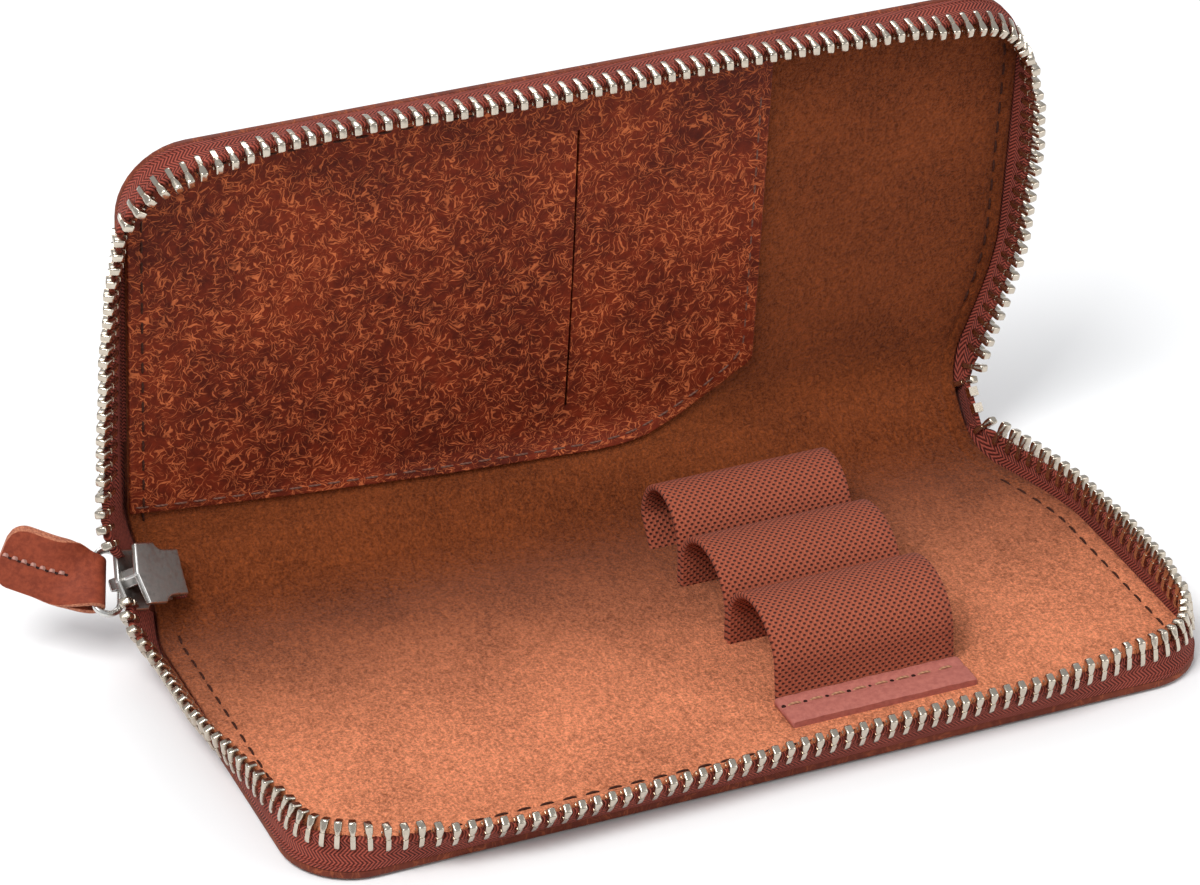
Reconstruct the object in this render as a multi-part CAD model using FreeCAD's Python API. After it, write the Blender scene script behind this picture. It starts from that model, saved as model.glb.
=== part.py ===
import FreeCAD, Part
import math
import os
from FreeCAD import Vector

# A zippered pen case standing open: a tray and a lid of the same outline, each a leather panel with
# a board and a suede lining, joined by a leather spine. The zip's two tapes are the side walls.
# Millimetres, +Z up. The origin is the middle of the tray's underside, which rests on the table.
# Panel pieces use x along the case, q away from the middle of the spine, n up from the leather.

# Outline of the case
PANEL_LENGTH = 161.0
PANEL_DEPTH = 73.8
SPINE_HEIGHT = 20.3
CORNER_RADIUS = 12.0
FOLD_BEND = 47.4
FOLD_HALF_WIDTH = 6.0
RIGHT_NECK_DEPTH = 8.0
RIGHT_NECK_RUN = 38.0
LEFT_NECK_DEPTH = 1.5
LEFT_NECK_RUN = 16.0

# Sheet thicknesses and insets
LEATHER = 1.6
TAPE = 0.8
LINING = 0.8
LINING_INSET = 1.3
FLANGE_WIDTH = 6.5
BOARD_GAP = 0.6
EDGE_ROUND = 0.6

# Zip
WALL_SLANT = 8.3
TOOTH_REACH = 2.8
TOOTH_GRIP = 1.1
TOOTH_WIDTH = 2.3
TOOTH_TIP_WIDTH = 1.7
TOOTH_LENGTH = 1.3
TOOTH_PITCH = 2.6
TOOTH_FIT = 0.2
LEFT_WALL_END = 29.0
RIGHT_WALL_END = 18.5
LEFT_FOOT_END = 13.0
RIGHT_FOOT_END = 3.4
FOOT_LIFT = 0.3
PATH_STEPS = 200

# Outward lean of the tooth tips, at distances along the rim from the middle of the front edge
TRAY_LEAN = ((-130, 4.4), (-120, 4.3), (-112, 3.4), (-104, 2.0), (-96, 0.4), (-87, -2.0),
             (-74, -2.0), (-64, 2.0), (-56, 4.2), (-44, 5.3), (-20, 4.8), (10, 3.6), (46, 3.0),
             (57, 1.6), (64, -0.4), (72, -2.0), (82, -2.0), (90, 0.0), (98, 1.5), (110, 1.7),
             (121, 0.8), (130, 0.9), (141, 2.3))
LID_LEAN = ((-130, 5.8), (-112, 5.3), (-98, 4.4), (-88, 2.8), (-80, 0.1), (-72, -2.0), (-64, 0.0),
            (-56, 1.6), (-44, 2.0), (-8, 0.8), (30, 1.1), (56, 0.2), (64, -1.3), (71, -2.0),
            (82, -2.0), (89, 0.0), (96, 2.0), (104, 2.8), (118, 1.8), (130, 0.9), (141, 1.1))

# Slider, seen in its own directions: along its run, across it, and up towards the case's inside
SLIDER_TURN = 50.0
SLIDER_X = -79.3
SLIDER_LIFT = 8.3
SLIDER_PLATE = 1.0
SLIDER_GAP = 3.0
SLIDER_THROAT = 5.75
SLIDER_NOSE = 7.2
SLIDER_SHOULDER = 5.2
SLIDER_TAIL = 5.6
SLIDER_TAIL_HALF_WIDTH = 3.9
SLIDER_WAIST_START = -1.2
SLIDER_WAIST_END = 1.0
SLIDER_FLANGE = 0.7
POST_NOSE = 0.8
POST_HALF_WIDTH = 1.6
POST_TAIL_HALF_WIDTH = 0.4
POST_LENGTH = 4.2
THROAT_CLEAR = 1.7
THROAT_TIP = 3.4
THROAT_PULL = 6.0

# Crown that holds the pull
CROWN_START = -5.6
CROWN_LENGTH = 6.2
CROWN_WIDTH = 2.0
CROWN_HEIGHT = 2.9
CROWN_STOCK = 0.8

# Pull: a wire link and a folded leather tab
LINK_WIRE = 1.2
LINK_WIDTH = 13.0
LINK_LENGTH = 5.7
LINK_TILT = 24.0
LINK_LIFT = 35.0
EYE_SLACK = 0.55
EYE_GAP = 0.15
PULL_FIT = 0.25
PULL_LEATHER = 1.1
PULL_LENGTH = 18.0
PULL_TAPER = 4.5
PULL_ROOT_WIDTH = 8.8
PULL_END_WIDTH = 11.0
PULL_CORNER = 3.0
PULL_STITCHES = 7
PULL_STITCH_PITCH = 1.6
PULL_STITCH_LENGTH = 1.05
PULL_STITCH_START = 5.2

# Elastic pen loops and the leather tab that holds their front end
BAND_LEFT = 6.9
BAND_WIDTH = 32.2
ELASTIC = 1.1
LOOP_SHOULDER = 8.2
LOOP_EDGES = (-20.8, -1.4, 17.6, 34.0)
LOOP_TOPS = (16.9, 16.3, 17.0)
LOOP_FRONT_FOOT = -21.4
LOOP_BACK_FOOT = 30.4
TAB_DEPTH = 7.4
TAB_THICKNESS = 1.3
TAB_MARGIN = 0.6

# Slip pocket on the lid
POCKET_THICKNESS = 1.0
POCKET_INSET = 0.5
POCKET_LIFT = 0.06
POCKET_RIGHT = 33.9
POCKET_LEFT_RISE = 6.5
POCKET_POINT = 5.0
POCKET_POINT_RISE = 0.5
POCKET_CUT = ((20.4, 3.2), (25.4, 6.8), (32.5, 11.2))
POCKET_CORNER_RISE = 13.4
SLIT_X = -1.7
SLIT_LOW = 8.4
SLIT_HIGH = 64.2
SLIT_WIDTH = 0.5
POCKET_SPACE = 0.3
POCKET_SEAM = 5.0

# Stitching
STITCH_LENGTH = 2.6
STITCH_PITCH = 3.9
STITCH_WIDTH = 0.7
STITCH_HEIGHT = 0.35
SEAM_INSET = 3.9
SEAM_END = 2.0
TAB_SEAM_INSET = 2.4
TAB_SEAM_END = 1.3
POCKET_SEAM_INSET = 3.0
SLANT_SEAM_SHIFT = 2.2
SLANT_SEAM_RISE = 2.6

# Ends of the zip
END_TAB_HALF_WIDTH = 2.3
END_TAB_HEIGHT = 5.0
STOP_SIZE = 1.6
TAIL_TAPE_GAP = 0.3
TAIL_TAPE_LENGTH = 2.0
TAIL_STOP_INSET = 0.2
END_TIP_LIFT = 5.6
END_TIP_ACROSS = 3.6

# Values that follow from those above
HALF_LENGTH = PANEL_LENGTH / 2
HALF_SPINE = SPINE_HEIGHT / 2
HINGE_HEIGHT = LEATHER / 2
STACK = LEATHER + TAPE + LINING
FOLD_Y = PANEL_DEPTH / 2
PANEL_START = HALF_SPINE + FOLD_HALF_WIDTH
SPINE_END = HALF_SPINE - FOLD_HALF_WIDTH
PANEL_END = HALF_SPINE + PANEL_DEPTH
CREASE_RADIUS = FOLD_HALF_WIDTH / math.tan(math.radians(FOLD_BEND / 2))

BEND = math.radians(FOLD_BEND)
FOLD = Vector(0, FOLD_Y, HINGE_HEIGHT)
ALONG_SPINE = Vector(0, math.cos(BEND), math.sin(BEND))
SPINE_NORMAL = Vector(0, -math.sin(BEND), math.cos(BEND))
SPINE_MIDDLE = FOLD + ALONG_SPINE * HALF_SPINE
RIGHT = Vector(1, 0, 0)
UP = Vector(0, 0, 1)


def right_edge(q):
    if q > RIGHT_NECK_RUN:
        return HALF_LENGTH
    return HALF_LENGTH - RIGHT_NECK_DEPTH * math.cos(math.pi / 2 * q / RIGHT_NECK_RUN) ** 2


def left_edge(q):
    if q > LEFT_NECK_RUN:
        return -HALF_LENGTH
    return -HALF_LENGTH + LEFT_NECK_DEPTH * math.cos(math.pi / 2 * q / LEFT_NECK_RUN) ** 2


def place(x, q, n):
    """The point at x, at q from the middle of the spine on the tray's side, n above the outer face."""
    if q >= PANEL_START:
        return Vector(x, FOLD_Y + HALF_SPINE - q, n)
    if q >= SPINE_END:
        turn = BEND * (PANEL_START - q) / (2 * FOLD_HALF_WIDTH)
        radius = CREASE_RADIUS + HINGE_HEIGHT - n
        back = FOLD_Y - FOLD_HALF_WIDTH + radius * math.sin(turn)
        return Vector(x, back, CREASE_RADIUS + HINGE_HEIGHT - radius * math.cos(turn))
    return FOLD + ALONG_SPINE * (HALF_SPINE - q) + SPINE_NORMAL * (n - HINGE_HEIGHT) + RIGHT * x


def normal_at(q):
    return place(0, q, 1) - place(0, q, 0)


def mirrored(shape):
    """The lid's copy of a tray piece: the case is folded evenly about the middle of its spine."""
    return shape.mirror(SPINE_MIDDLE, ALONG_SPINE)


def save(node, *solids):
    if len(solids) == 1:
        shape = solids[0]
    else:
        shape = Part.makeCompound(list(solids))
    shape.exportStep("parts/" + node + ".step")


def polygon(points):
    return Part.makePolygon(list(points) + [points[0]])


def prism(points, direction):
    return Part.Face(polygon(points)).extrude(direction)


def ruled(sections):
    return Part.makeLoft([polygon(section) for section in sections], True, True)


# Panels, creases and spine
def panel_outline(inset, height, start=PANEL_START):
    """Outline of a flat panel, its long sides drawn in by the inset."""
    far = PANEL_END - inset
    left = -HALF_LENGTH + inset
    right = HALF_LENGTH - inset
    radius = CORNER_RADIUS - inset
    bend = radius * (1 - math.sqrt(0.5))
    corner = far - radius
    curve = Part.BSplineCurve()
    steps = 6
    qs = [RIGHT_NECK_RUN + (start - RIGHT_NECK_RUN) * i / steps for i in range(steps + 1)]
    curve.interpolate([place(right_edge(q) - inset, q, height) for q in qs])
    edges = [
        Part.makeLine(place(left, start, height), place(left, corner, height)),
        Part.Arc(place(left, corner, height), place(left + bend, far - bend, height),
                 place(left + radius, far, height)).toShape(),
        Part.makeLine(place(left + radius, far, height), place(right - radius, far, height)),
        Part.Arc(place(right - radius, far, height), place(right - bend, far - bend, height),
                 place(right, corner, height)).toShape(),
        Part.makeLine(place(right, corner, height), place(right, RIGHT_NECK_RUN, height)),
        curve.toShape(),
        Part.makeLine(place(right_edge(start) - inset, start, height), place(left, start, height)),
    ]
    return Part.Wire(edges)


def panel_plate(inset, low, thickness, start=PANEL_START):
    return Part.Face(panel_outline(inset, low, start)).extrude(UP * thickness)


def cover_panel():
    """Leather panel with its cut edge rounded on the outer side."""
    plate = panel_plate(0, 0, LEATHER)
    fold_side = FOLD_Y - FOLD_HALF_WIDTH
    rim = [edge for edge in plate.Edges
           if edge.BoundBox.ZMax < LEATHER / 2 and edge.BoundBox.YMin < fold_side - LEATHER]
    return plate.makeFillet(EDGE_ROUND, rim)


def sheet(inset, low, high, q_from, q_to, steps):
    """A sheet that follows the bend between two distances from the middle of the spine."""
    sections = []
    for i in range(steps + 1):
        q = q_from + (q_to - q_from) * i / steps
        left = left_edge(abs(q)) + inset
        right = right_edge(abs(q)) - inset
        corners = [(left, low), (right, low), (right, high), (left, high)]
        if q >= 0:
            sections.append([place(x, q, n) for x, n in corners])
        else:
            across = -2 * q
            sections.append([place(x, -q, n) + ALONG_SPINE * across for x, n in corners])
    return ruled(sections)


# Zip tapes and teeth
def rim_point(s, inset=0.0):
    """Point at s along the rim from the middle of the front, drawn in by the inset, and its outward way."""
    straight = HALF_LENGTH - CORNER_RADIUS
    radius = CORNER_RADIUS - inset
    arc = radius * math.pi / 2
    side = 1 if s >= 0 else -1
    run = abs(s)
    if run <= straight:
        return Vector(s, PANEL_END - inset, 0), Vector(0, 1, 0)
    if run <= straight + arc:
        turn = (run - straight) / radius
        out = Vector(side * math.sin(turn), math.cos(turn), 0)
        centre = Vector(side * straight, PANEL_END - CORNER_RADIUS, 0)
        return centre + out * radius, out
    q = PANEL_END - CORNER_RADIUS - (run - straight - arc)
    if side < 0:
        return Vector(left_edge(q) + inset, q, 0), Vector(-1, 0, 0)
    slope = right_edge(q + 0.5) - right_edge(q - 0.5)
    out = Vector(1, -slope, 0)
    out.normalize()
    return Vector(right_edge(q), q, 0) - out * inset, out


def lean_at(table, s):
    if s <= table[0][0]:
        return table[0][1]
    for (s0, a), (s1, b) in zip(table, table[1:]):
        if s <= s1:
            part = (s - s0) / (s1 - s0)
            return a + (b - a) * part * part * (3 - 2 * part)
    return table[-1][1]


def rim_station(table, s):
    """Outer edge of the leather's top, outward and upward ways, and the tooth tip, at s on the rim."""
    edge, out = rim_point(s)
    outward = Vector(out.x, -out.y, 0)
    origin = place(edge.x, edge.y, LEATHER)
    lean = math.asin(lean_at(table, s) / WALL_SLANT)
    foot = origin - outward * (TAPE / 2)
    tip = foot + (outward * math.sin(lean) + UP * math.cos(lean)) * WALL_SLANT
    return origin, outward, UP, tip


def tooth_frame(origin, outward, normal, tip):
    foot = origin - outward * (TAPE / 2)
    rise = tip - foot
    length = rise.Length
    rise.normalize()
    across = outward - rise * outward.dot(rise)
    across.normalize()
    return foot, rise, across, length


def tape_section(origin, outward, normal, tip):
    """Flange under the lining and wall up to the teeth, as one bent section."""
    foot, rise, across, length = tooth_frame(origin, outward, normal, tip)
    top = foot + rise * (length - TOOTH_REACH)
    inner_bend = foot - across * (TAPE / 2)
    climb = TAPE - (inner_bend - origin).dot(normal)
    inner_bend = inner_bend + rise * (climb / rise.dot(normal))
    inside = origin - outward * FLANGE_WIDTH
    return [inside, origin, top + across * (TAPE / 2), top - across * (TAPE / 2), inner_bend,
            inside + normal * TAPE]


def free_section(origin, outward, normal, tip):
    """Section of a free tape end: the wall alone, without the flange."""
    foot, rise, across, length = tooth_frame(origin, outward, normal, tip)
    side = across * (TAPE / 2)
    low = foot + rise * FOOT_LIFT
    top = foot + rise * (length - TOOTH_REACH - TOOTH_GRIP - TOOTH_FIT)
    return [low + side, top + side, top - side, low - side]


def tooth(origin, outward, normal, tip):
    """One metal tooth: two legs that clamp the tape's edge and a narrower head."""
    foot, rise, across, length = tooth_frame(origin, outward, normal, tip)
    way = rise.cross(across)
    grip = TAPE / 2 + TOOTH_FIT
    low = -TOOTH_REACH - TOOTH_GRIP
    crotch = -TOOTH_REACH + TOOTH_FIT
    wide = TOOTH_WIDTH / 2
    narrow = TOOTH_TIP_WIDTH / 2
    half = [(grip, crotch), (grip, low), (wide, low), (wide, -TOOTH_REACH / 3), (narrow, 0)]
    profile = half + [(-a, b) for a, b in reversed(half)]
    start = tip - way * (TOOTH_LENGTH / 2)
    return prism([start + across * a + rise * b for a, b in profile], way * TOOTH_LENGTH)


def rim_length(q, inset=0.0):
    """Distance along the rim from the middle of the front to q on a short side of the case."""
    corner = (CORNER_RADIUS - inset) * math.pi / 2
    return HALF_LENGTH - CORNER_RADIUS + corner + PANEL_END - CORNER_RADIUS - q


RIM_START = -rim_length(LEFT_WALL_END)
RIM_STOP = rim_length(RIGHT_WALL_END)


def rim_stops():
    """Places along the rim for the tape's sections: close together in the corners."""
    straight = HALF_LENGTH - CORNER_RADIUS
    corner_end = straight + CORNER_RADIUS * math.pi / 2
    spans = [(RIM_START, -corner_end, 8), (-corner_end, -straight, 8), (-straight, straight, 24),
             (straight, corner_end, 8), (corner_end, RIM_STOP, 10)]
    stops = [RIM_START]
    for start, end, count in spans:
        stops += [start + (end - start) * (i + 1) / count for i in range(count)]
    return stops


def rim_tape(table):
    return ruled([tape_section(*rim_station(table, s)) for s in rim_stops()])


def on_tape(table, stops, s):
    """Station at s on the tape as it is built, straight from one section to the next."""
    index = max(i for i, stop in enumerate(stops[:-1]) if stop <= s)
    part = (s - stops[index]) / (stops[index + 1] - stops[index])
    before = rim_station(table, stops[index])
    after = rim_station(table, stops[index + 1])
    origin, outward, normal, tip = [a + (b - a) * part for a, b in zip(before, after)]
    outward.normalize()
    return origin, outward, normal, tip


RIM_TEETH = int((RIM_STOP - RIM_START - TOOTH_LENGTH) / TOOTH_PITCH)


def rim_teeth(table, first):
    stops = rim_stops()
    return [tooth(*on_tape(table, stops, first + TOOTH_PITCH * i)) for i in range(RIM_TEETH)]


# Slider directions
TURN = math.radians(SLIDER_TURN)
RUN = RIGHT * math.cos(math.radians(90) - TURN) - SPINE_NORMAL * math.sin(math.radians(90) - TURN)
RUN.normalize()
INWARD = ALONG_SPINE.cross(RUN) * -1
SLIDER_CENTRE = SPINE_MIDDLE + RIGHT * SLIDER_X + SPINE_NORMAL * SLIDER_LIFT


def at_slider(along, across, inward):
    return SLIDER_CENTRE + RUN * along + ALONG_SPINE * across + INWARD * inward


# Free ends of the tapes
def bezier(points, t):
    a, b, c, d = points
    u = 1 - t
    return a * (u ** 3) + b * (3 * u * u * t) + c * (3 * u * t * t) + d * (t ** 3)


def end_stations(side, q_start, q_end, path, steps=12):
    """Stations from the rim's end towards the spine: the foot keeps to the edge, the tip to a curve."""
    stations = []
    edge_at = left_edge if side < 0 else right_edge
    for i in range(steps + 1):
        t = i / steps
        q = q_start + (q_end - q_start) * t
        origin = place(edge_at(q), q, LEATHER + FOOT_LIFT)
        slope = edge_at(q + 0.5) - edge_at(q - 0.5)
        towards_spine = place(0, q - 0.5, LEATHER) - place(0, q + 0.5, LEATHER)
        outward = (RIGHT + towards_spine * slope) * side
        outward.normalize()
        stations.append((origin, outward, normal_at(q), bezier(path, t)))
    return stations


def end_teeth(stations, path, mark):
    """Teeth a pitch apart along a free end from a first mark, each upright on the tape there."""
    solids = []
    run = 0.0
    for i in range(PATH_STEPS):
        t = (i + 1) / PATH_STEPS
        run += (bezier(path, t) - bezier(path, i / PATH_STEPS)).Length
        if run >= mark:
            mark += TOOTH_PITCH
            spot = t * (len(stations) - 1)
            index = min(int(spot), len(stations) - 2)
            pair = zip(stations[index], stations[index + 1])
            solids.append(tooth(*[a + (b - a) * (spot - index) for a, b in pair]))
    return solids


def left_path(table):
    """The tips' curve from the rim's left end into the slider's throat."""
    start = rim_station(table, RIM_START)[3]
    end = at_slider(-SLIDER_NOSE - THROAT_CLEAR, -THROAT_TIP, 0)
    into_throat = RUN * 0.75 + ALONG_SPINE * 0.66
    return [start, start + Vector(0, 8, 0.3), end - into_throat * THROAT_PULL, end]


def right_path(table):
    """The tips' curve from the rim's right end to the stops on the spine."""
    start = rim_station(table, RIM_STOP)[3]
    before = rim_station(table, RIM_STOP - 1)[3]
    middle = SPINE_MIDDLE + RIGHT * (right_edge(0) + 2 * TAPE)
    end = middle + SPINE_NORMAL * END_TIP_LIFT - ALONG_SPINE * END_TIP_ACROSS
    return [start, start + (start - before) * 6, end + Vector(3.5, -2.5, 0.5), end]


os.makedirs("parts", exist_ok=True)

# Leather cover, from the tray over the spine to the lid
cover = cover_panel()
save("cover_tray_panel", cover)
save("cover_lid_panel", mirrored(cover))
crease = sheet(0, 0, LEATHER, PANEL_START, SPINE_END, 8)
save("cover_lower_crease", crease)
save("cover_upper_crease", mirrored(crease))
save("cover_spine_strip", sheet(0, 0, LEATHER, SPINE_END, -SPINE_END, 2))

# Boards that keep the tray and lid flat
board = panel_plate(FLANGE_WIDTH + BOARD_GAP, LEATHER, TAPE)
save("tray_board", board)
save("lid_board", mirrored(board))

# Suede lining
lining = panel_plate(LINING_INSET, LEATHER + TAPE, LINING)
save("tray_lining", lining)
save("lid_lining", mirrored(lining))
lining_crease = sheet(LINING_INSET, LEATHER + TAPE, STACK, PANEL_START, SPINE_END, 8)
save("lining_lower_crease", lining_crease)
save("lining_upper_crease", mirrored(lining_crease))
save("lining_spine_strip", sheet(LINING_INSET, LEATHER + TAPE, STACK, SPINE_END, -SPINE_END, 2))

# Zip tapes and teeth
for name, table, shift in (("tray", TRAY_LEAN, 0.0), ("lid", LID_LEAN, TOOTH_PITCH / 2)):
    tape = rim_tape(table)
    first = RIM_START + TOOTH_LENGTH / 2 + shift
    teeth = rim_teeth(table, first)
    left = left_path(table)
    right = right_path(table)
    left_stations = end_stations(-1, LEFT_WALL_END, LEFT_FOOT_END, left)
    right_stations = end_stations(1, RIGHT_WALL_END, RIGHT_FOOT_END, right)
    pieces = {"zip_tape": [tape], "zip_teeth": teeth,
              "tape_left_end": [ruled([free_section(*station) for station in left_stations])],
              "teeth_left_end": end_teeth(left_stations, left, RIM_START + TOOTH_PITCH - first),
              "tape_right_end": [ruled([free_section(*station) for station in right_stations])],
              "teeth_right_end": end_teeth(right_stations, right,
                                            first + TOOTH_PITCH * RIM_TEETH - RIM_STOP)}
    for piece, solids in pieces.items():
        if name == "lid":
            solids = [mirrored(solid) for solid in solids]
        save(name + "_" + piece, *solids)


# Stitches
def stitch(start, way, up, length=STITCH_LENGTH):
    """One stitch lying on a surface: it starts at a point and runs along a way."""
    side = way.cross(up) * (STITCH_WIDTH / 2)
    base = [start - side, start + side, start + side + way * length, start - side + way * length]
    return prism(base, up * STITCH_HEIGHT)


def stitch_row(start, end, up, pitch=STITCH_PITCH, length=STITCH_LENGTH):
    way = end - start
    count = int((way.Length - length) / pitch) + 1
    way.normalize()
    return [stitch(start + way * (pitch * i), way, up, length) for i in range(count)]


def pocket_low(x):
    """Rise of the pocket's lower edge above the fold line, at x."""
    part = (x + HALF_LENGTH) / (POCKET_POINT + HALF_LENGTH)
    return POCKET_LEFT_RISE + (POCKET_POINT_RISE - POCKET_LEFT_RISE) * part


def seam_stitches(on_pocket):
    """Seam a little inside the rim; on the lid its left and top parts also hold the pocket."""
    end = rim_length(PANEL_START + SEAM_END, SEAM_INSET)
    solids = []
    count = int(2 * end / STITCH_PITCH)
    for i in range(count):
        s = -end + STITCH_PITCH * i
        a = rim_point(s, SEAM_INSET)[0]
        b = rim_point(s + STITCH_LENGTH, SEAM_INSET)[0]
        over_pocket = on_pocket and b.x < POCKET_RIGHT
        if on_pocket and a.x < POCKET_RIGHT <= b.x:
            continue
        height = STACK + POCKET_THICKNESS if over_pocket else STACK
        start = place(a.x, a.y, height)
        way = place(b.x, b.y, height) - start
        length = way.Length
        way.normalize()
        solids.append(stitch(start, way, UP, length))
    return solids


save("tray_seam_stitches", *seam_stitches(False))
save("lid_seam_stitches", *[mirrored(solid) for solid in seam_stitches(True)])


# Elastic loops for pens
def loop_outline(front_foot, front, back, back_foot, top, skin):
    """Arch of a loop, drawn in by a skin: two sides and a half ellipse."""
    middle = (front + back) / 2
    half = (back - front) / 2 - skin
    rise = top - LOOP_SHOULDER - skin
    steps = 12
    arch = []
    for i in range(steps + 1):
        angle = math.pi * i / steps
        arch.append(Vector(0, middle - half * math.cos(angle), LOOP_SHOULDER + rise * math.sin(angle)))
    curve = Part.BSplineCurve()
    curve.interpolate(arch)
    low_front = Vector(0, front_foot + skin, STACK)
    low_back = Vector(0, back_foot - skin, STACK)
    edges = [Part.makeLine(low_front, arch[0]), curve.toShape(), Part.makeLine(arch[-1], low_back),
             Part.makeLine(low_back, low_front)]
    return Part.Face(Part.Wire(edges))


def pen_loop(index):
    front = LOOP_EDGES[index]
    back = LOOP_EDGES[index + 1]
    front_foot = LOOP_FRONT_FOOT if index == 0 else front
    back_foot = LOOP_BACK_FOOT if index == len(LOOP_TOPS) - 1 else back
    sides = (front_foot, front, back, back_foot, LOOP_TOPS[index])
    band = loop_outline(*sides, 0).cut(loop_outline(*sides, ELASTIC))
    solid = band.extrude(RIGHT * BAND_WIDTH)
    solid.translate(RIGHT * BAND_LEFT)
    return solid.Solids[0]


for index, name in enumerate(("front", "middle", "back")):
    save("pen_loop_" + name, pen_loop(index))


# Leather tab over the front end of the elastic
TAB_LEFT = BAND_LEFT - TAB_MARGIN
TAB_RIGHT = BAND_LEFT + BAND_WIDTH + TAB_MARGIN
TAB_FRONT = LOOP_FRONT_FOOT - TAB_DEPTH
save("band_tab", Part.makeBox(TAB_RIGHT - TAB_LEFT, TAB_DEPTH, TAB_THICKNESS,
                              Vector(TAB_LEFT, TAB_FRONT, STACK)))


def tab_stitches():
    top = STACK + TAB_THICKNESS
    row = LOOP_FRONT_FOOT - TAB_SEAM_INSET
    start = Vector(TAB_LEFT + TAB_SEAM_END, row, top)
    return stitch_row(start, Vector(TAB_RIGHT - TAB_SEAM_END, row, top), UP)


save("band_tab_stitches", *tab_stitches())


# Slip pocket
def pocket_outline():
    """Pocket's region on the lid, as x and rise above the fold line, without the bend's strip."""
    crease = FOLD_HALF_WIDTH
    lower = [(x, rise) for x, rise in POCKET_CUT if rise > crease]
    first = POCKET_CUT[0]
    second = POCKET_CUT[1]
    cut_x = first[0] + (second[0] - first[0]) * (crease - first[1]) / (second[1] - first[1])
    start_x = -HALF_LENGTH + (POCKET_POINT + HALF_LENGTH) * (POCKET_LEFT_RISE - crease) / (
        POCKET_LEFT_RISE - POCKET_POINT_RISE)
    region = [(-HALF_LENGTH, POCKET_LEFT_RISE), (start_x, crease), (cut_x, crease)] + lower
    return region + [(POCKET_RIGHT, POCKET_CORNER_RISE), (POCKET_RIGHT, PANEL_DEPTH),
                     (-HALF_LENGTH, PANEL_DEPTH)]


def on_lid(x, rise, n):
    return place(x, HALF_SPINE + rise, n)


def pocket_panel():
    panel = panel_plate(LINING_INSET + POCKET_INSET, STACK, POCKET_THICKNESS)
    region = prism([on_lid(x, rise, 0) for x, rise in pocket_outline()], UP * (2 * STACK))
    panel = panel.common(region)
    left = -HALF_LENGTH + POCKET_SEAM + LINING_INSET
    low = POCKET_LEFT_RISE + POCKET_SEAM
    high = PANEL_DEPTH - POCKET_SEAM - LINING_INSET
    space = Part.makeBox(PANEL_LENGTH, high - low, POCKET_SPACE, on_lid(left, high, STACK))
    slit = Part.makeBox(SLIT_WIDTH, SLIT_HIGH - SLIT_LOW, 2 * STACK,
                        on_lid(SLIT_X - SLIT_WIDTH / 2, SLIT_HIGH, 0))
    return panel.cut(space).cut(slit).Solids[0]


save("pocket_panel", mirrored(pocket_panel()))


def pocket_point():
    """The pocket's lowest strip, which lies on the bend below the lid."""
    sections = []
    steps = 5
    low = POCKET_POINT_RISE + POCKET_LIFT
    cut = ((POCKET_POINT, POCKET_POINT_RISE),) + POCKET_CUT
    for i in range(steps + 1):
        rise = FOLD_HALF_WIDTH + (low - FOLD_HALF_WIDTH) * i / steps
        left = -HALF_LENGTH + (POCKET_POINT + HALF_LENGTH) * (POCKET_LEFT_RISE - rise) / (
            POCKET_LEFT_RISE - POCKET_POINT_RISE)
        right = POCKET_POINT
        for (x0, r0), (x1, r1) in zip(cut, cut[1:]):
            if r0 <= rise <= r1:
                right = x0 + (x1 - x0) * (rise - r0) / (r1 - r0)
        below = STACK + POCKET_LIFT
        above = STACK + POCKET_THICKNESS
        corners = [(left, below), (right, below), (right, above), (left, above)]
        sections.append([on_lid(x, rise, n) for x, n in corners])
    return ruled(sections)


save("pocket_point", mirrored(pocket_point()))


def pocket_seam():
    """Corners of the seam inside the pocket's open edges, as x and rise above the fold line."""
    first = -HALF_LENGTH + POCKET_SEAM + LINING_INSET
    start = (first, pocket_low(first) + POCKET_SEAM_INSET)
    point = (POCKET_POINT, POCKET_POINT_RISE + POCKET_SEAM_INSET)
    slant = [(x - SLANT_SEAM_SHIFT, rise + SLANT_SEAM_RISE) for x, rise in POCKET_CUT]
    side = POCKET_RIGHT - POCKET_SEAM_INSET
    return [start, point] + slant + [(side, POCKET_CORNER_RISE + SLANT_SEAM_RISE),
                                     (side, PANEL_DEPTH - SEAM_INSET - STITCH_PITCH)]


def pocket_stitches():
    """Stitches along the pocket's seam: those on the flat lid, and those on the bend below it."""
    corners = pocket_seam()
    spare = 0.0
    flat = []
    bent = []
    for (x0, r0), (x1, r1) in zip(corners, corners[1:]):
        length = math.hypot(x1 - x0, r1 - r0)
        while spare + STITCH_LENGTH <= length:
            spots = []
            for along in (spare, spare + STITCH_LENGTH):
                part = along / length
                spots.append((x0 + (x1 - x0) * part, r0 + (r1 - r0) * part))
            spare += STITCH_PITCH
            rises = [rise for _, rise in spots]
            on_bend = max(rises) < FOLD_HALF_WIDTH
            if min(rises) < FOLD_HALF_WIDTH and not on_bend:
                continue
            face = STACK + POCKET_THICKNESS + (POCKET_LIFT if on_bend else 0)
            start, end = [on_lid(x, rise, face) for x, rise in spots]
            way = end - start
            reach = way.Length
            way.normalize()
            solid = stitch(start, way, normal_at(HALF_SPINE + sum(rises) / 2), reach)
            (bent if on_bend else flat).append(solid)
        spare -= length
    return flat, bent


flat_stitches, bent_stitches = pocket_stitches()
save("pocket_stitches", *[mirrored(solid) for solid in flat_stitches])
save("pocket_point_stitches", *[mirrored(solid) for solid in bent_stitches])


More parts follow.
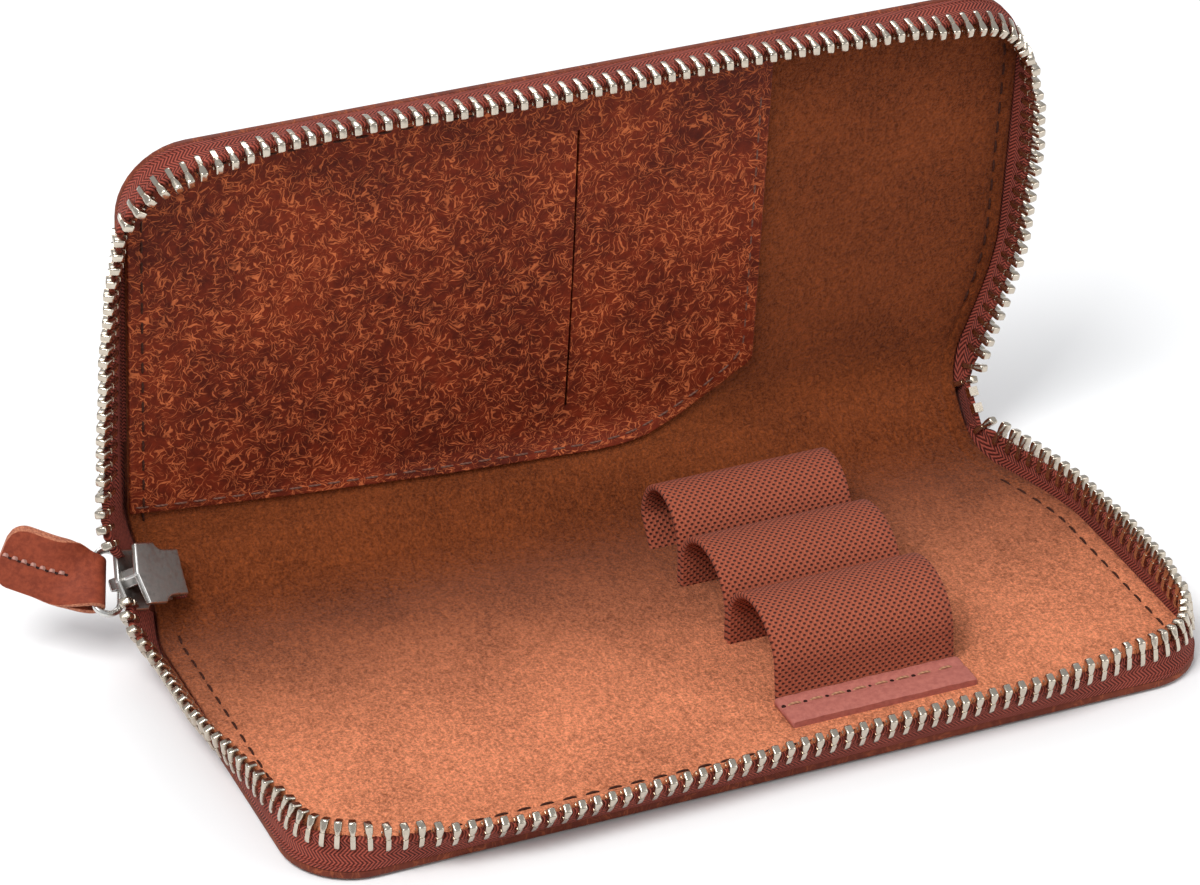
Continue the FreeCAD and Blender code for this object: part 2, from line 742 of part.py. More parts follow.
# Slider
def slider_plate(low):
    half = [(-SLIDER_THROAT, SLIDER_SHOULDER), (SLIDER_WAIST_START, SLIDER_SHOULDER),
            (SLIDER_WAIST_END, SLIDER_TAIL_HALF_WIDTH), (SLIDER_TAIL, SLIDER_TAIL_HALF_WIDTH)]
    outline = [(-SLIDER_NOSE, 0)] + half + [(a, -b) for a, b in reversed(half)]
    return prism([at_slider(a, b, low) for a, b in outline], INWARD * SLIDER_PLATE)


def slider_block(start, end, low_across, high_across, low, high):
    corners = [(start, low_across), (end, low_across), (end, high_across), (start, high_across)]
    return prism([at_slider(a, b, low) for a, b in corners], INWARD * (high - low))


def slider_body():
    """One casting: two plates, the wedge between them at the throat, and a lip along each side."""
    half_gap = SLIDER_GAP / 2
    body = slider_plate(half_gap).fuse(slider_plate(-half_gap - SLIDER_PLATE))
    post_end = POST_LENGTH - SLIDER_THROAT
    wedge = [(-SLIDER_NOSE + POST_NOSE, 0), (-SLIDER_THROAT, POST_HALF_WIDTH),
             (post_end, POST_TAIL_HALF_WIDTH), (post_end, -POST_TAIL_HALF_WIDTH),
             (-SLIDER_THROAT, -POST_HALF_WIDTH)]
    body = body.fuse(prism([at_slider(a, b, -half_gap) for a, b in wedge], INWARD * SLIDER_GAP))
    for side in (-1, 1):
        outer = side * SLIDER_TAIL_HALF_WIDTH
        inner = side * (SLIDER_TAIL_HALF_WIDTH - SLIDER_PLATE)
        low, high = min(outer, inner), max(outer, inner)
        for start, end in ((half_gap - SLIDER_FLANGE, half_gap),
                           (-half_gap, -half_gap + SLIDER_FLANGE)):
            body = body.fuse(slider_block(SLIDER_WAIST_END, SLIDER_TAIL, low, high, start, end))
    return body.removeSplitter().Solids[0]


save("slider_body", slider_body())

SLIDER_BACK = -SLIDER_GAP / 2 - SLIDER_PLATE


def slider_crown():
    """Bridge on the slider's outer plate, with an eye that the link passes through."""
    end = CROWN_START + CROWN_LENGTH
    top = SLIDER_BACK - CROWN_HEIGHT
    outer = [(CROWN_START, SLIDER_BACK), (CROWN_START, top + CROWN_STOCK),
             (CROWN_START + CROWN_STOCK, top), (end - CROWN_STOCK, top),
             (end, top + CROWN_STOCK), (end, SLIDER_BACK)]
    inner = [(end - CROWN_STOCK, SLIDER_BACK), (end - CROWN_STOCK, top + CROWN_STOCK),
             (CROWN_START + CROWN_STOCK, top + CROWN_STOCK), (CROWN_START + CROWN_STOCK, SLIDER_BACK)]
    points = [at_slider(a, -CROWN_WIDTH / 2, b) for a, b in outer + inner]
    return prism(points, ALONG_SPINE * CROWN_WIDTH)


save("slider_crown", slider_crown())


# Pull link and leather pull
TILT = math.radians(LINK_TILT)
LIFT = math.radians(LINK_LIFT)
PULL_AXIS = ALONG_SPINE * math.cos(TILT) + RUN * math.sin(TILT)
FLAT_WAY = ALONG_SPINE * math.sin(TILT) - RUN * math.cos(TILT)
PULL_WAY = FLAT_WAY * math.cos(LIFT) - INWARD * math.sin(LIFT)
PULL_FACE = PULL_AXIS.cross(PULL_WAY)
NEAR_BAR = at_slider(CROWN_START + CROWN_STOCK + EYE_SLACK + LINK_WIRE / 2, 0,
                     SLIDER_BACK - CROWN_HEIGHT + CROWN_STOCK + EYE_GAP + LINK_WIRE / 2)
FAR_BAR = NEAR_BAR + PULL_WAY * (LINK_LENGTH - LINK_WIRE)


def pull_point(out, side, face=0.0):
    return FAR_BAR + PULL_WAY * out + PULL_AXIS * side + PULL_FACE * face


def pull_link():
    """Closed wire ring: two straight bars and two half rounds."""
    radius = (LINK_LENGTH - LINK_WIRE) / 2
    half = LINK_WIDTH / 2 - LINK_WIRE / 2 - radius
    reach = half + radius
    path = Part.Wire([
        Part.makeLine(pull_point(0, -half), pull_point(0, half)),
        Part.Arc(pull_point(0, half), pull_point(-radius, reach), pull_point(-2 * radius, half)).toShape(),
        Part.makeLine(pull_point(-2 * radius, half), pull_point(-2 * radius, -half)),
        Part.Arc(pull_point(-2 * radius, -half), pull_point(-radius, -reach),
                 pull_point(0, -half)).toShape(),
    ])
    profile = Part.Wire([Part.makeCircle(LINK_WIRE / 2, pull_point(0, -half), PULL_AXIS)])
    return path.makePipeShell([profile], True, False)


save("pull_link", pull_link())


def pull_leather():
    """One strip of leather folded round the link's outer bar, its two layers sewn together."""
    bore = LINK_WIRE / 2 + PULL_FIT
    fold = bore + PULL_LEATHER
    tip = PULL_LENGTH - fold
    width = 2 * PULL_END_WIDTH
    start = pull_point(0, -width / 2)
    side = [(0, fold), (PULL_TAPER, PULL_LEATHER), (tip, PULL_LEATHER)]
    profile = side + [(a, -b) for a, b in reversed(side)]
    strip = prism([start + PULL_WAY * a + PULL_FACE * b for a, b in profile], PULL_AXIS * width)
    strip = strip.fuse(Part.makeCylinder(fold, width, start, PULL_AXIS))
    strip = strip.cut(Part.makeCylinder(bore, width, start, PULL_AXIS))
    root = PULL_ROOT_WIDTH / 2
    end = PULL_END_WIDTH / 2
    bend = PULL_CORNER * (1 - math.sqrt(0.5))
    deep = -fold

    def at(out, across):
        return pull_point(out, across, deep)

    plan = Part.Wire([
        Part.makeLine(at(deep, -root), at(deep, root)),
        Part.makeLine(at(deep, root), at(PULL_TAPER, end)),
        Part.makeLine(at(PULL_TAPER, end), at(tip - PULL_CORNER, end)),
        Part.Arc(at(tip - PULL_CORNER, end), at(tip - bend, end - bend), at(tip, end - PULL_CORNER)).toShape(),
        Part.makeLine(at(tip, end - PULL_CORNER), at(tip, PULL_CORNER - end)),
        Part.Arc(at(tip, PULL_CORNER - end), at(tip - bend, bend - end),
                 at(tip - PULL_CORNER, -end)).toShape(),
        Part.makeLine(at(tip - PULL_CORNER, -end), at(PULL_TAPER, -end)),
        Part.makeLine(at(PULL_TAPER, -end), at(deep, -root)),
    ])
    return strip.common(Part.Face(plan).extrude(PULL_FACE * (2 * fold))).removeSplitter().Solids[0]


save("pull_leather", pull_leather())


def pull_stitches():
    solids = []
    for i in range(PULL_STITCHES):
        out = PULL_STITCH_START + PULL_STITCH_PITCH * i
        for face in (PULL_LEATHER, -PULL_LEATHER - STITCH_HEIGHT):
            solids.append(stitch(pull_point(out, 0, face), PULL_WAY, PULL_FACE, PULL_STITCH_LENGTH))
    return solids


save("pull_stitches", *pull_stitches())


# Ends of the zip on the spine
def on_spine(x, across, lift):
    return SPINE_MIDDLE + RIGHT * x + ALONG_SPINE * across + SPINE_NORMAL * lift


def spine_block(x, across, lift, size_x, size_across, size_lift):
    corners = [(x, across), (x + size_x, across), (x + size_x, across + size_across),
               (x, across + size_across)]
    return prism([on_spine(a, b, lift) for a, b in corners], SPINE_NORMAL * size_lift)


SPINE_RIGHT = right_edge(SPINE_END)
tab_low = -HINGE_HEIGHT
save("zip_end_tab", spine_block(SPINE_RIGHT, -END_TAB_HALF_WIDTH, tab_low, TAPE,
                                2 * END_TAB_HALF_WIDTH, END_TAB_HEIGHT - tab_low))
save("zip_top_stops", *[
    spine_block(SPINE_RIGHT - TAPE / 2, across, END_TAB_HEIGHT, STOP_SIZE, STOP_SIZE, STOP_SIZE)
    for across in (-END_TAB_HALF_WIDTH, END_TAB_HALF_WIDTH - STOP_SIZE)])
tail_start = SLIDER_TAIL + TAIL_TAPE_GAP
tail_end = tail_start + TAIL_TAPE_LENGTH
save("zip_tail_tape", slider_block(tail_start, tail_end, -SLIDER_TAIL_HALF_WIDTH, SLIDER_TAIL_HALF_WIDTH,
                                   -TAPE / 2, TAPE / 2))
stop_start = tail_start + TAIL_STOP_INSET
save("zip_bottom_stop", slider_block(stop_start, stop_start + STOP_SIZE / 2, -STOP_SIZE, STOP_SIZE,
                                     TAPE / 2, TAPE / 2 + STOP_SIZE / 2))
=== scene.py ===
import math

import bmesh
import bpy
import numpy as np
from mathutils import Matrix, Vector


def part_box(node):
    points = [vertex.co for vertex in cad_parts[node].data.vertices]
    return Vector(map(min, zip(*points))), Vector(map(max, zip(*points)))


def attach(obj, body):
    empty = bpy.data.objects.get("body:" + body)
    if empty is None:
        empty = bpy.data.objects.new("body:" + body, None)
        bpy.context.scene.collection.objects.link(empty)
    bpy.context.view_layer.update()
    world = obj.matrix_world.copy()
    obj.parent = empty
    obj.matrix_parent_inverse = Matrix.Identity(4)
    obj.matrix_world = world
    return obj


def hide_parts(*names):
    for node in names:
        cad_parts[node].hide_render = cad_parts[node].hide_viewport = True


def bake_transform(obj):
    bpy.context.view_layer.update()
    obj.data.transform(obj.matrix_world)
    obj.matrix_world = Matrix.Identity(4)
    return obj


bl_info = {
    "name": "Zippered pen case",
    "version": (1, 0, 0),
    "blender": (4, 5, 0),
    "location": "3D View > Sidebar > Pen case",
    "description": "Dresses the packed pen case: leather, suede, zip, elastic loops, slider and stage",
    "category": "Object",
}

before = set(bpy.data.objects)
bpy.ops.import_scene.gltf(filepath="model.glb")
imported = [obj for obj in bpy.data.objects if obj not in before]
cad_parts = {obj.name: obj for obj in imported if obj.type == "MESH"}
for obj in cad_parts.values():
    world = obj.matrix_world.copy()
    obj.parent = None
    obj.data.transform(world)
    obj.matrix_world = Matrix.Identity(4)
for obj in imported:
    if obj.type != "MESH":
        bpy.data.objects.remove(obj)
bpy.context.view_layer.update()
MM = 0.001

# The folded sheet: bend at each fold, half its width, how deep and long the sides draw in at the
# spine, and the grid of the cover and lining: rows in four stretches from the spine, and columns
FOLD_BEND = math.radians(47.4)
FOLD_HALF_WIDTH = 6.0
RIGHT_NECK = (8.0, 38.0)
LEFT_NECK = (1.5, 16.0)
PANEL_ROWS = (4, 15, 10, 12)
PANEL_COLUMNS = np.linspace(0, 1, 41)

# Zip walls: how long they are across, where they end on each side, where their free ends turn with
# the lid, the flange, the cord under the teeth, and the tips' outward lean by place along the rim
WALL_SLANT = 8.3
TOOTH_REACH = 2.8
LEFT_WALL_END = 29.0
RIGHT_WALL_END = 18.5
LEFT_FOOT_END = 5.0
RIGHT_FOOT_END = 3.4
FOOT_LIFT = 0.3
FREE_END_STEPS = 28
WALL_TURN = ((0.0, 31.0, 2.0), (0.0, 36.76, 12.07))
FLANGE_WIDTH = 6.0
SHORT_END_HALF_WIDTH = 4.4
SHORT_END_TOP = 5.0
CORD_RADIUS = 0.66
CORD_WAVE = 0.16
CORD_DROP = 0.45
CORD_ROOT = 1.0
TRAY_LEAN = ((-130, 4.4), (-120, 4.3), (-112, 3.4), (-104, 2.0), (-96, 0.4), (-87, -2.0),
             (-74, -2.0), (-64, 2.0), (-56, 4.2), (-44, 5.3), (-20, 4.8), (10, 3.6), (46, 3.0),
             (57, 1.6), (64, -0.4), (72, -2.0), (82, -2.0), (90, 0.0), (98, 1.5), (110, 1.7),
             (121, 0.8), (130, 0.9), (141, 2.3))
LID_LEAN = ((-130, 5.8), (-112, 5.3), (-98, 4.4), (-88, 2.8), (-80, 0.1), (-72, -2.0), (-64, 0.0),
            (-56, 1.6), (-44, 2.0), (-8, 0.8), (30, 1.1), (56, 0.2), (64, -1.3), (71, -2.0),
            (82, -2.0), (89, 0.0), (96, 2.0), (104, 2.8), (118, 1.8), (130, 0.9), (141, 1.1))

# Free ends of the walls: how their tips' curves leave the rim, come in to their ends and end there
LEFT_TIP_LEAD = (0.0, 8.0, 0.3)
LEFT_TIP_RUN_IN = (0.75, 0.66)
LEFT_TIP_END = (-1.7, -3.4)
RIGHT_TIP_RUN_IN = (3.5, -2.5, 0.5)
RIGHT_TIP_END = (5.6, -3.6)
TIP_REACH = 6

# Teeth: the head's rings as rise from the tip, half width and half thickness, and a leg's rings as
# rise, distance from the tooth's middle, half width and half thickness
TOOTH_HEAD = ((-2.75, 1.06, 0.36), (-2.15, 1.14, 0.42), (-1.75, 1.14, 0.46), (-1.45, 1.10, 0.56),
              (-1.2, 1.02, 0.65), (-0.45, 0.93, 0.69), (-0.2, 0.87, 0.65), (-0.06, 0.77, 0.56),
              (0.0, 0.6, 0.40))
TOOTH_LEG = ((-4.5, 0.80, 0.2, 0.30), (-4.38, 0.86, 0.32, 0.42), (-3.8, 0.90, 0.36, 0.46),
             (-2.2, 0.84, 0.36, 0.46))
TOOTH_SQUARENESS = 0.38

# Slider, in its own directions: along its run, across it, and up towards the case's inside. The
# wedge, lips and crown sink into the plates
SLIDER_TURN = math.radians(50)
SLIDER_X = -79.3
SLIDER_LIFT = 8.3
SLIDER_PLATE = 1.0
SLIDER_GAP = 3.0
SLIDER_THROAT = 5.75
SLIDER_NOSE = 7.2
SLIDER_SHOULDER = 5.2
SLIDER_TAIL = 5.6
SLIDER_TAIL_HALF_WIDTH = 3.9
SLIDER_NOTCH = ((-0.9, 5.2), (-0.35, 4.55), (0.45, 4.1), (1.4, 3.92))
SLIDER_SINK = 0.3
LIP_START = 1.0
LIP_WIDTH = 0.9
CROWN_START = -5.6
CROWN_LENGTH = 6.2
CROWN_WIDTH = 2.0
CROWN_HEIGHT = 2.9
CROWN_STOCK = 0.8

# Link and pull
LINK_WIRE = 1.2
LINK_LENGTH = 5.7
LINK_TILT = math.radians(24)
LINK_LIFT = math.radians(35)
EYE_SLACK = 0.55
EYE_GAP = 0.15
PULL_FIT = 0.25
PULL_TAPER = 4.5
PULL_ROOT_WIDTH = 8.8
PULL_END_WIDTH = 11.0
PULL_CORNER = 3.0
PULL_STITCHES = 7
PULL_STITCH_PITCH = 1.6
PULL_STITCH_LENGTH = 1.05
PULL_STITCH_START = 5.2
PULL_TURN = math.radians(54)
PULL_TURN_LENGTH = 9.0
PULL_RISE = math.radians(13)
PULL_SLIDE = 0.7

# Section of the pull's strip: share of its half width and of its thickness, and which steps are cut edge
STRAP_SECTION = ((-1, 0.3), (-0.97, 0.5), (-0.6, 0.5), (0, 0.5), (0.6, 0.5), (0.97, 0.5), (1, 0.3),
                 (1, -0.3), (0.97, -0.5), (0.6, -0.5), (0, -0.5), (-0.6, -0.5), (-0.97, -0.5),
                 (-1, -0.3))
STRAP_CUT_EDGE = (5, 6, 7, 12, 13, 0)

# Elastic loops and their tab; WEAVE_SHIFT keeps the loops' knit from lining up
BAND_LEFT = 6.9
LOOP_SHOULDER = 8.2
LOOP_EDGES = (-20.8, -1.4, 17.6, 34.0)
LOOP_TOPS = (16.9, 16.3, 17.0)
LOOP_FRONT_FOOT = -21.4
LOOP_BACK_FOOT = 30.4
BAND_ROUNDING = 0.28
WEAVE_SHIFT = 60
TAB_DEPTH = 7.4
TAB_THICKNESS = 1.3
TAB_MARGIN = 0.6
TAB_SEAM_INSET = 2.4
TAB_SEAM_MARGIN = 1.3

# The tab's short ends: inset, drop of its top and draw-in of its long edges
TAB_ROUNDING = ((0.0, 0.35, 0.3), (0.15, 0.12, 0.1), (0.5, 0.0, 0.0))

# Slip pocket: its lower edge as x and rise above the lid's fold line, its slit, and the grid's rows
# right of the slit and columns that the slit lies between
POCKET_INSET = 0.05
POCKET_RIGHT = 33.1
POCKET_EDGE = ((-80.5, 4.9), (-67.6, 3.0), (-50.0, 0.8), (-23.3, -1.8), (4.0, -3.7), (9.0, -3.5),
               (13.0, -2.7), (16.0, -1.3), (20.0, 0.8), (25.2, 4.7), (32.2, 9.7), (33.1, 11.2))
SLIT_X = -1.7
SLIT_LOW = 8.4
SLIT_HIGH = 64.2
SLIT_WIDTH = 0.5
POCKET_GAP = 0.02
POCKET_CUT_ROWS = (22.0, 23.7, 25.2, 27.5, 30.0, 31.2, 32.2, 32.8, POCKET_RIGHT)
SLIT_COLUMNS = (7, 31)
SLIT_LIFT = 0.55
OPEN_SIDE_LIFT = 0.25

# Seams, and the groove that a seam pulls into the lining, as shift from the seam and depth
LINING_INSET = 0.85
SEAM_DIPS = ((-0.9, 0.0), (-0.45, 0.08), (0.0, 0.26), (0.45, 0.08), (0.9, 0.0), (2.2, 0.0))
SEAM_INSET = {"tray": 4.1, "lid": 3.2}
SEAM_END = 2.0
LEFT_SEAM_END = 11.8
POCKET_SEAM_INSET = 1.9
SLANT_SEAM_SHIFT = 1.4
POCKET_STITCH = 2.9
POCKET_STITCH_PITCH = 3.4
SLANT_SEAM_RISE = 2.6

# How deep stitches lie in the lining, the pocket, the tab and the pull
LINING_STITCH_DEPTH = 0.22
RIM_STITCH_DEPTH_ON_POCKET = 0.1
POCKET_STITCH_DEPTH = 0.12
TAB_STITCH_DEPTH = 0.25
PULL_STITCH_DEPTH = 0.06

# Radius of the pull's thread and of its holes and the tab's, and a hole's distance from its stitch
PULL_THREAD_RADIUS = 0.3
PULL_HOLE_RADIUS = 0.36
PULL_HOLE_GAP = 0.28
TAB_HOLE_RADIUS = 0.4

# A stitch's steps along its length, how thick it is at each, and a needle hole's size and lift
THREAD_STEPS = np.array([0.0, 0.06, 0.16, 0.34, 0.66, 0.84, 0.94, 1.0])
THREAD_GIRTH = np.array([0.55, 0.85, 1.0, 1.05, 1.05, 1.0, 0.85, 0.55])
HOLE_RINGS = ((1.0, -0.1), (0.9, 0.03), (0.5, 0.05))


# Sizes and colours a user would change

def length(name, millimetres, description):
    return bpy.props.FloatProperty(name=name, description=description, default=millimetres * MM,
                                   min=0.0, unit="LENGTH", precision=5)


def colour(name, red, green, blue, description):
    return bpy.props.FloatVectorProperty(name=name, description=description, default=(red, green, blue),
                                         min=0.0, max=1.0, size=3, subtype="COLOR")


class CaseSizes(bpy.types.PropertyGroup):
    """Lengths of the case that the pieces are built from"""

    panel_length: length("Panel length", 161.0, "Length of the tray and of the lid")
    panel_depth: length("Panel depth", 73.8, "Depth of the tray from its fold to its front")
    spine_height: length("Spine", 20.3, "Distance between the two folds")
    corner_radius: length("Corner radius", 12.0, "Radius of the panels' outer corners")
    leather: length("Leather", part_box("cover_tray_panel")[1].z / MM, "Thickness of the cover")
    tape: length("Tape", 0.8, "Thickness of the zip's tape")
    lining: length("Lining", 0.8, "Thickness of the suede")
    tooth_pitch: length("Tooth pitch", 2.6, "Distance between teeth on one tape")
    tooth_length: length("Tooth length", 1.3, "Length of a tooth along the zip")
    elastic: length("Elastic", 1.1, "Thickness of the elastic band")
    band_width: length("Band width", 32.2, "Width of the elastic band")
    pocket_leather: length("Pocket leather", 1.0, "Thickness of the slip pocket")
    pull_leather: length("Pull leather", 1.1, "Thickness of one layer of the pull")
    pull_length: length("Pull length", 18.0, "Length of the leather pull")
    stitch: length("Stitch", 2.6, "Length of one stitch")
    stitch_pitch: length("Stitch pitch", 3.9, "Distance between stitches")
    thread: length("Thread", 0.40, "Thickness of the sewing thread")


class CaseColours(bpy.types.PropertyGroup):
    """Colours of the case's materials"""

    hide_dark: colour("Hide, dark", 0.062, 0.009, 0.005, "Ground of the pocket's pull-up leather")
    hide_warm: colour("Hide, warm", 0.20, 0.027, 0.009, "Warmer patches of the leather")
    hide_mark: colour("Hide, marks", 0.60, 0.16, 0.055, "Curly lighter marks in the leather")
    cover: colour("Cover", 0.10, 0.02, 0.012, "Ground of the outer leather")
    # The two suede colours are one suede, lit and shaded: the tray's is the lit colour, and the lid's, also
    # used on the spine, is painted shade
    suede_tray: colour("Suede, tray", 0.80, 0.265, 0.12, "Lining of the tray")
    suede_lid: colour("Suede, lid", 0.215, 0.050, 0.012, "Lining of the lid and spine")
    # The tape's dark colour is painted shade in the gaps between its threads
    tape_dark: colour("Tape, dark", 0.035, 0.004, 0.003, "Gaps between the tape's threads")
    tape_light: colour("Tape, light", 0.45, 0.095, 0.062, "Tops of the tape's threads")
    elastic: colour("Elastic", 0.36, 0.075, 0.038, "Threads of the elastic")
    tab: colour("Tab", 0.42, 0.135, 0.105, "Leather tab at the elastic's front end")
    pull: colour("Pull", 0.21, 0.037, 0.015, "Face of the leather pull")
    raw_edge: colour("Raw edge", 0.58, 0.22, 0.11, "Cut edges of the leather")
    nickel: colour("Nickel", 0.58, 0.51, 0.42, "Teeth")
    zinc: colour("Zinc", 0.36, 0.345, 0.325, "Slider")
    thread_dark: colour("Thread, dark", 0.062, 0.017, 0.009, "Seams round the case")
    thread_light: colour("Thread, light", 0.52, 0.27, 0.22, "Seam of the pull")
    thread_pocket: colour("Thread, pocket", 0.19, 0.085, 0.06, "Seam of the pocket")
    thread_tan: colour("Thread, tan", 0.55, 0.27, 0.15, "Tab seam")
    floor: colour("Floor", 0.86, 0.86, 0.86, "Floor and backdrop")


# Arrays of points

def arrays(*values):
    """The values as float arrays of one shape."""
    return np.broadcast_arrays(*(np.asarray(value, float) for value in values))


def stacked(*values):
    """Points from their three coordinates, each a number or an array."""
    return np.stack(arrays(*values), -1)


def there_and_back(values):
    """The values in order, then in reverse."""
    return np.concatenate([values, values[::-1]])


def travelled(line):
    """Distance along a line of points to each of them."""
    return np.concatenate([[0], np.cumsum(np.linalg.norm(np.diff(line, axis=0), axis=1))])


def unit(vectors):
    return vectors / np.linalg.norm(vectors, axis=-1, keepdims=True)


def eased(value, low, high):
    """Eased from 0 at low to 1 at high."""
    share = np.clip((value - low) / (high - low), 0, 1)
    return share * share * (3 - 2 * share)


def lean_at(table, s):
    """Outward lean of the tooth tips at s, eased between the table's places."""
    places = np.array(table, float)
    index = int(np.clip(np.searchsorted(places[:, 0], s) - 1, 0, len(places) - 2))
    (s0, a), (s1, b) = places[index], places[index + 1]
    return a + (b - a) * eased(s, s0, s1)


# Shape of the case

class Case:
    """The folded sheet's shape, in millimetres, worked out from the sizes in the panel."""

    def __init__(self):
        sizes = bpy.context.scene.pen_case_sizes
        for name in CaseSizes.__annotations__:
            setattr(self, name, getattr(sizes, name) / MM)
        self.half_length = self.panel_length / 2
        self.half_spine = self.spine_height / 2
        self.hinge = self.leather / 2
        self.stack = self.leather + self.tape + self.lining
        self.fold_y = self.panel_depth / 2
        self.panel_start = self.half_spine + FOLD_HALF_WIDTH
        self.spine_end = self.half_spine - FOLD_HALF_WIDTH
        self.panel_end = self.half_spine + self.panel_depth
        self.crease_radius = FOLD_HALF_WIDTH / math.tan(FOLD_BEND / 2)
        self.along_spine = np.array([0.0, math.cos(FOLD_BEND), math.sin(FOLD_BEND)])
        self.spine_normal = np.array([0.0, -math.sin(FOLD_BEND), math.cos(FOLD_BEND)])
        self.fold = np.array([0.0, self.fold_y, self.hinge])
        self.spine_middle = self.fold + self.along_spine * self.half_spine
        self.rim_start = -self.rim_length(LEFT_WALL_END)
        self.rim_stop = self.rim_length(RIGHT_WALL_END)
        turn = math.pi / 2 - SLIDER_TURN
        self.run = np.array([math.cos(turn), 0.0, 0.0]) - self.spine_normal * math.sin(turn)
        self.inward = np.cross(self.run, self.along_spine)
        self.slider_centre = (self.spine_middle + self.spine_normal * SLIDER_LIFT
                              + np.array([SLIDER_X, 0.0, 0.0]))

    def mirrored(self, points):
        """The lid's copy of points on the tray: the case is folded evenly about the spine's middle."""
        reach = (points - self.spine_middle) @ self.along_spine
        return points - 2 * reach[..., None] * self.along_spine

    def on_side(self, points, side):
        """Points for the tray as they are, and mirrored for the lid."""
        return self.mirrored(points) if side < 0 else points

    def place(self, x, q, n):
        """Points at x, q from the spine's middle (below nought on the lid) and n above the underside."""
        x, q, n = arrays(x, q, n)
        side = np.abs(q)
        turn = FOLD_BEND * np.clip((self.panel_start - side) / (2 * FOLD_HALF_WIDTH), 0, 1)
        radius = self.crease_radius + self.hinge - n
        rise = np.maximum(self.spine_end - side, 0)
        y = self.fold_y - FOLD_HALF_WIDTH - np.maximum(side - self.panel_start, 0)
        y = y + radius * np.sin(turn) + rise * math.cos(FOLD_BEND)
        z = self.crease_radius + self.hinge - radius * np.cos(turn) + rise * math.sin(FOLD_BEND)
        points = np.stack([x, y, z], -1)
        return np.where((q < 0)[..., None], self.mirrored(points), points)

    def right_edge(self, q):
        depth, run = RIGHT_NECK
        return self.half_length - depth * np.cos(np.pi / 2 * np.clip(np.abs(q) / run, 0, 1)) ** 2

    def left_edge(self, q):
        depth, run = LEFT_NECK
        return -self.half_length + depth * np.cos(np.pi / 2 * np.clip(np.abs(q) / run, 0, 1)) ** 2

    def rim_length(self, q, inset=0.0):
        """Distance along the rim from the middle of the front to q on a short side."""
        corner = (self.corner_radius - inset) * math.pi / 2
        return self.half_length - self.corner_radius + corner + self.panel_end - self.corner_radius - q

    def rim_point(self, s, inset=0.0):
        """Point (x, q) at s along the rim from the middle of the front, and its outward way."""
        straight = self.half_length - self.corner_radius
        radius = self.corner_radius - inset
        side = 1 if s >= 0 else -1
        beyond = abs(s) - straight
        if beyond <= 0:
            return np.array([s, self.panel_end - inset]), np.array([0.0, 1.0])
        if beyond <= radius * math.pi / 2:
            turn = beyond / radius
            out = np.array([side * math.sin(turn), math.cos(turn)])
            return np.array([side * straight, self.panel_end - self.corner_radius]) + out * radius, out
        q = self.panel_end - self.corner_radius - (beyond - radius * math.pi / 2)
        if side < 0:
            return np.array([self.left_edge(q) + inset, q]), np.array([-1.0, 0.0])
        out = np.array([1.0, self.right_edge(q - 0.5) - self.right_edge(q + 0.5)])
        out = out / np.linalg.norm(out)
        return np.array([self.right_edge(q), q]) - out * inset, out

    def panel_rows(self, inset):
        """Left and right ends (x, q) of the rows of a panel drawn in by an inset, from spine to rim."""
        corner = self.panel_end - self.corner_radius
        stops = (0, self.spine_end, self.panel_start, RIGHT_NECK[1], corner)
        parts = [np.linspace(a, b, count)[1:] for a, b, count in zip(stops, stops[1:], PANEL_ROWS)]
        straight = np.concatenate([[0.0]] + parts)
        turn = np.linspace(0, math.pi / 2, 11)[1:]
        radius = self.corner_radius - inset
        q = np.concatenate([straight, corner + radius * np.sin(turn)])
        reach = self.half_length - self.corner_radius + radius * np.cos(turn)
        left = np.concatenate([self.left_edge(straight) + inset, -reach])
        right = np.concatenate([self.right_edge(straight) - inset, reach])
        return np.stack([left, q], -1), np.stack([right, q], -1)

    def at_slider(self, along, across, inward):
        """Points by their distances from the slider's middle, in its own directions."""
        along, across, inward = arrays(along, across, inward)
        return (self.slider_centre + along[..., None] * self.run + across[..., None] * self.along_spine
                + inward[..., None] * self.inward)


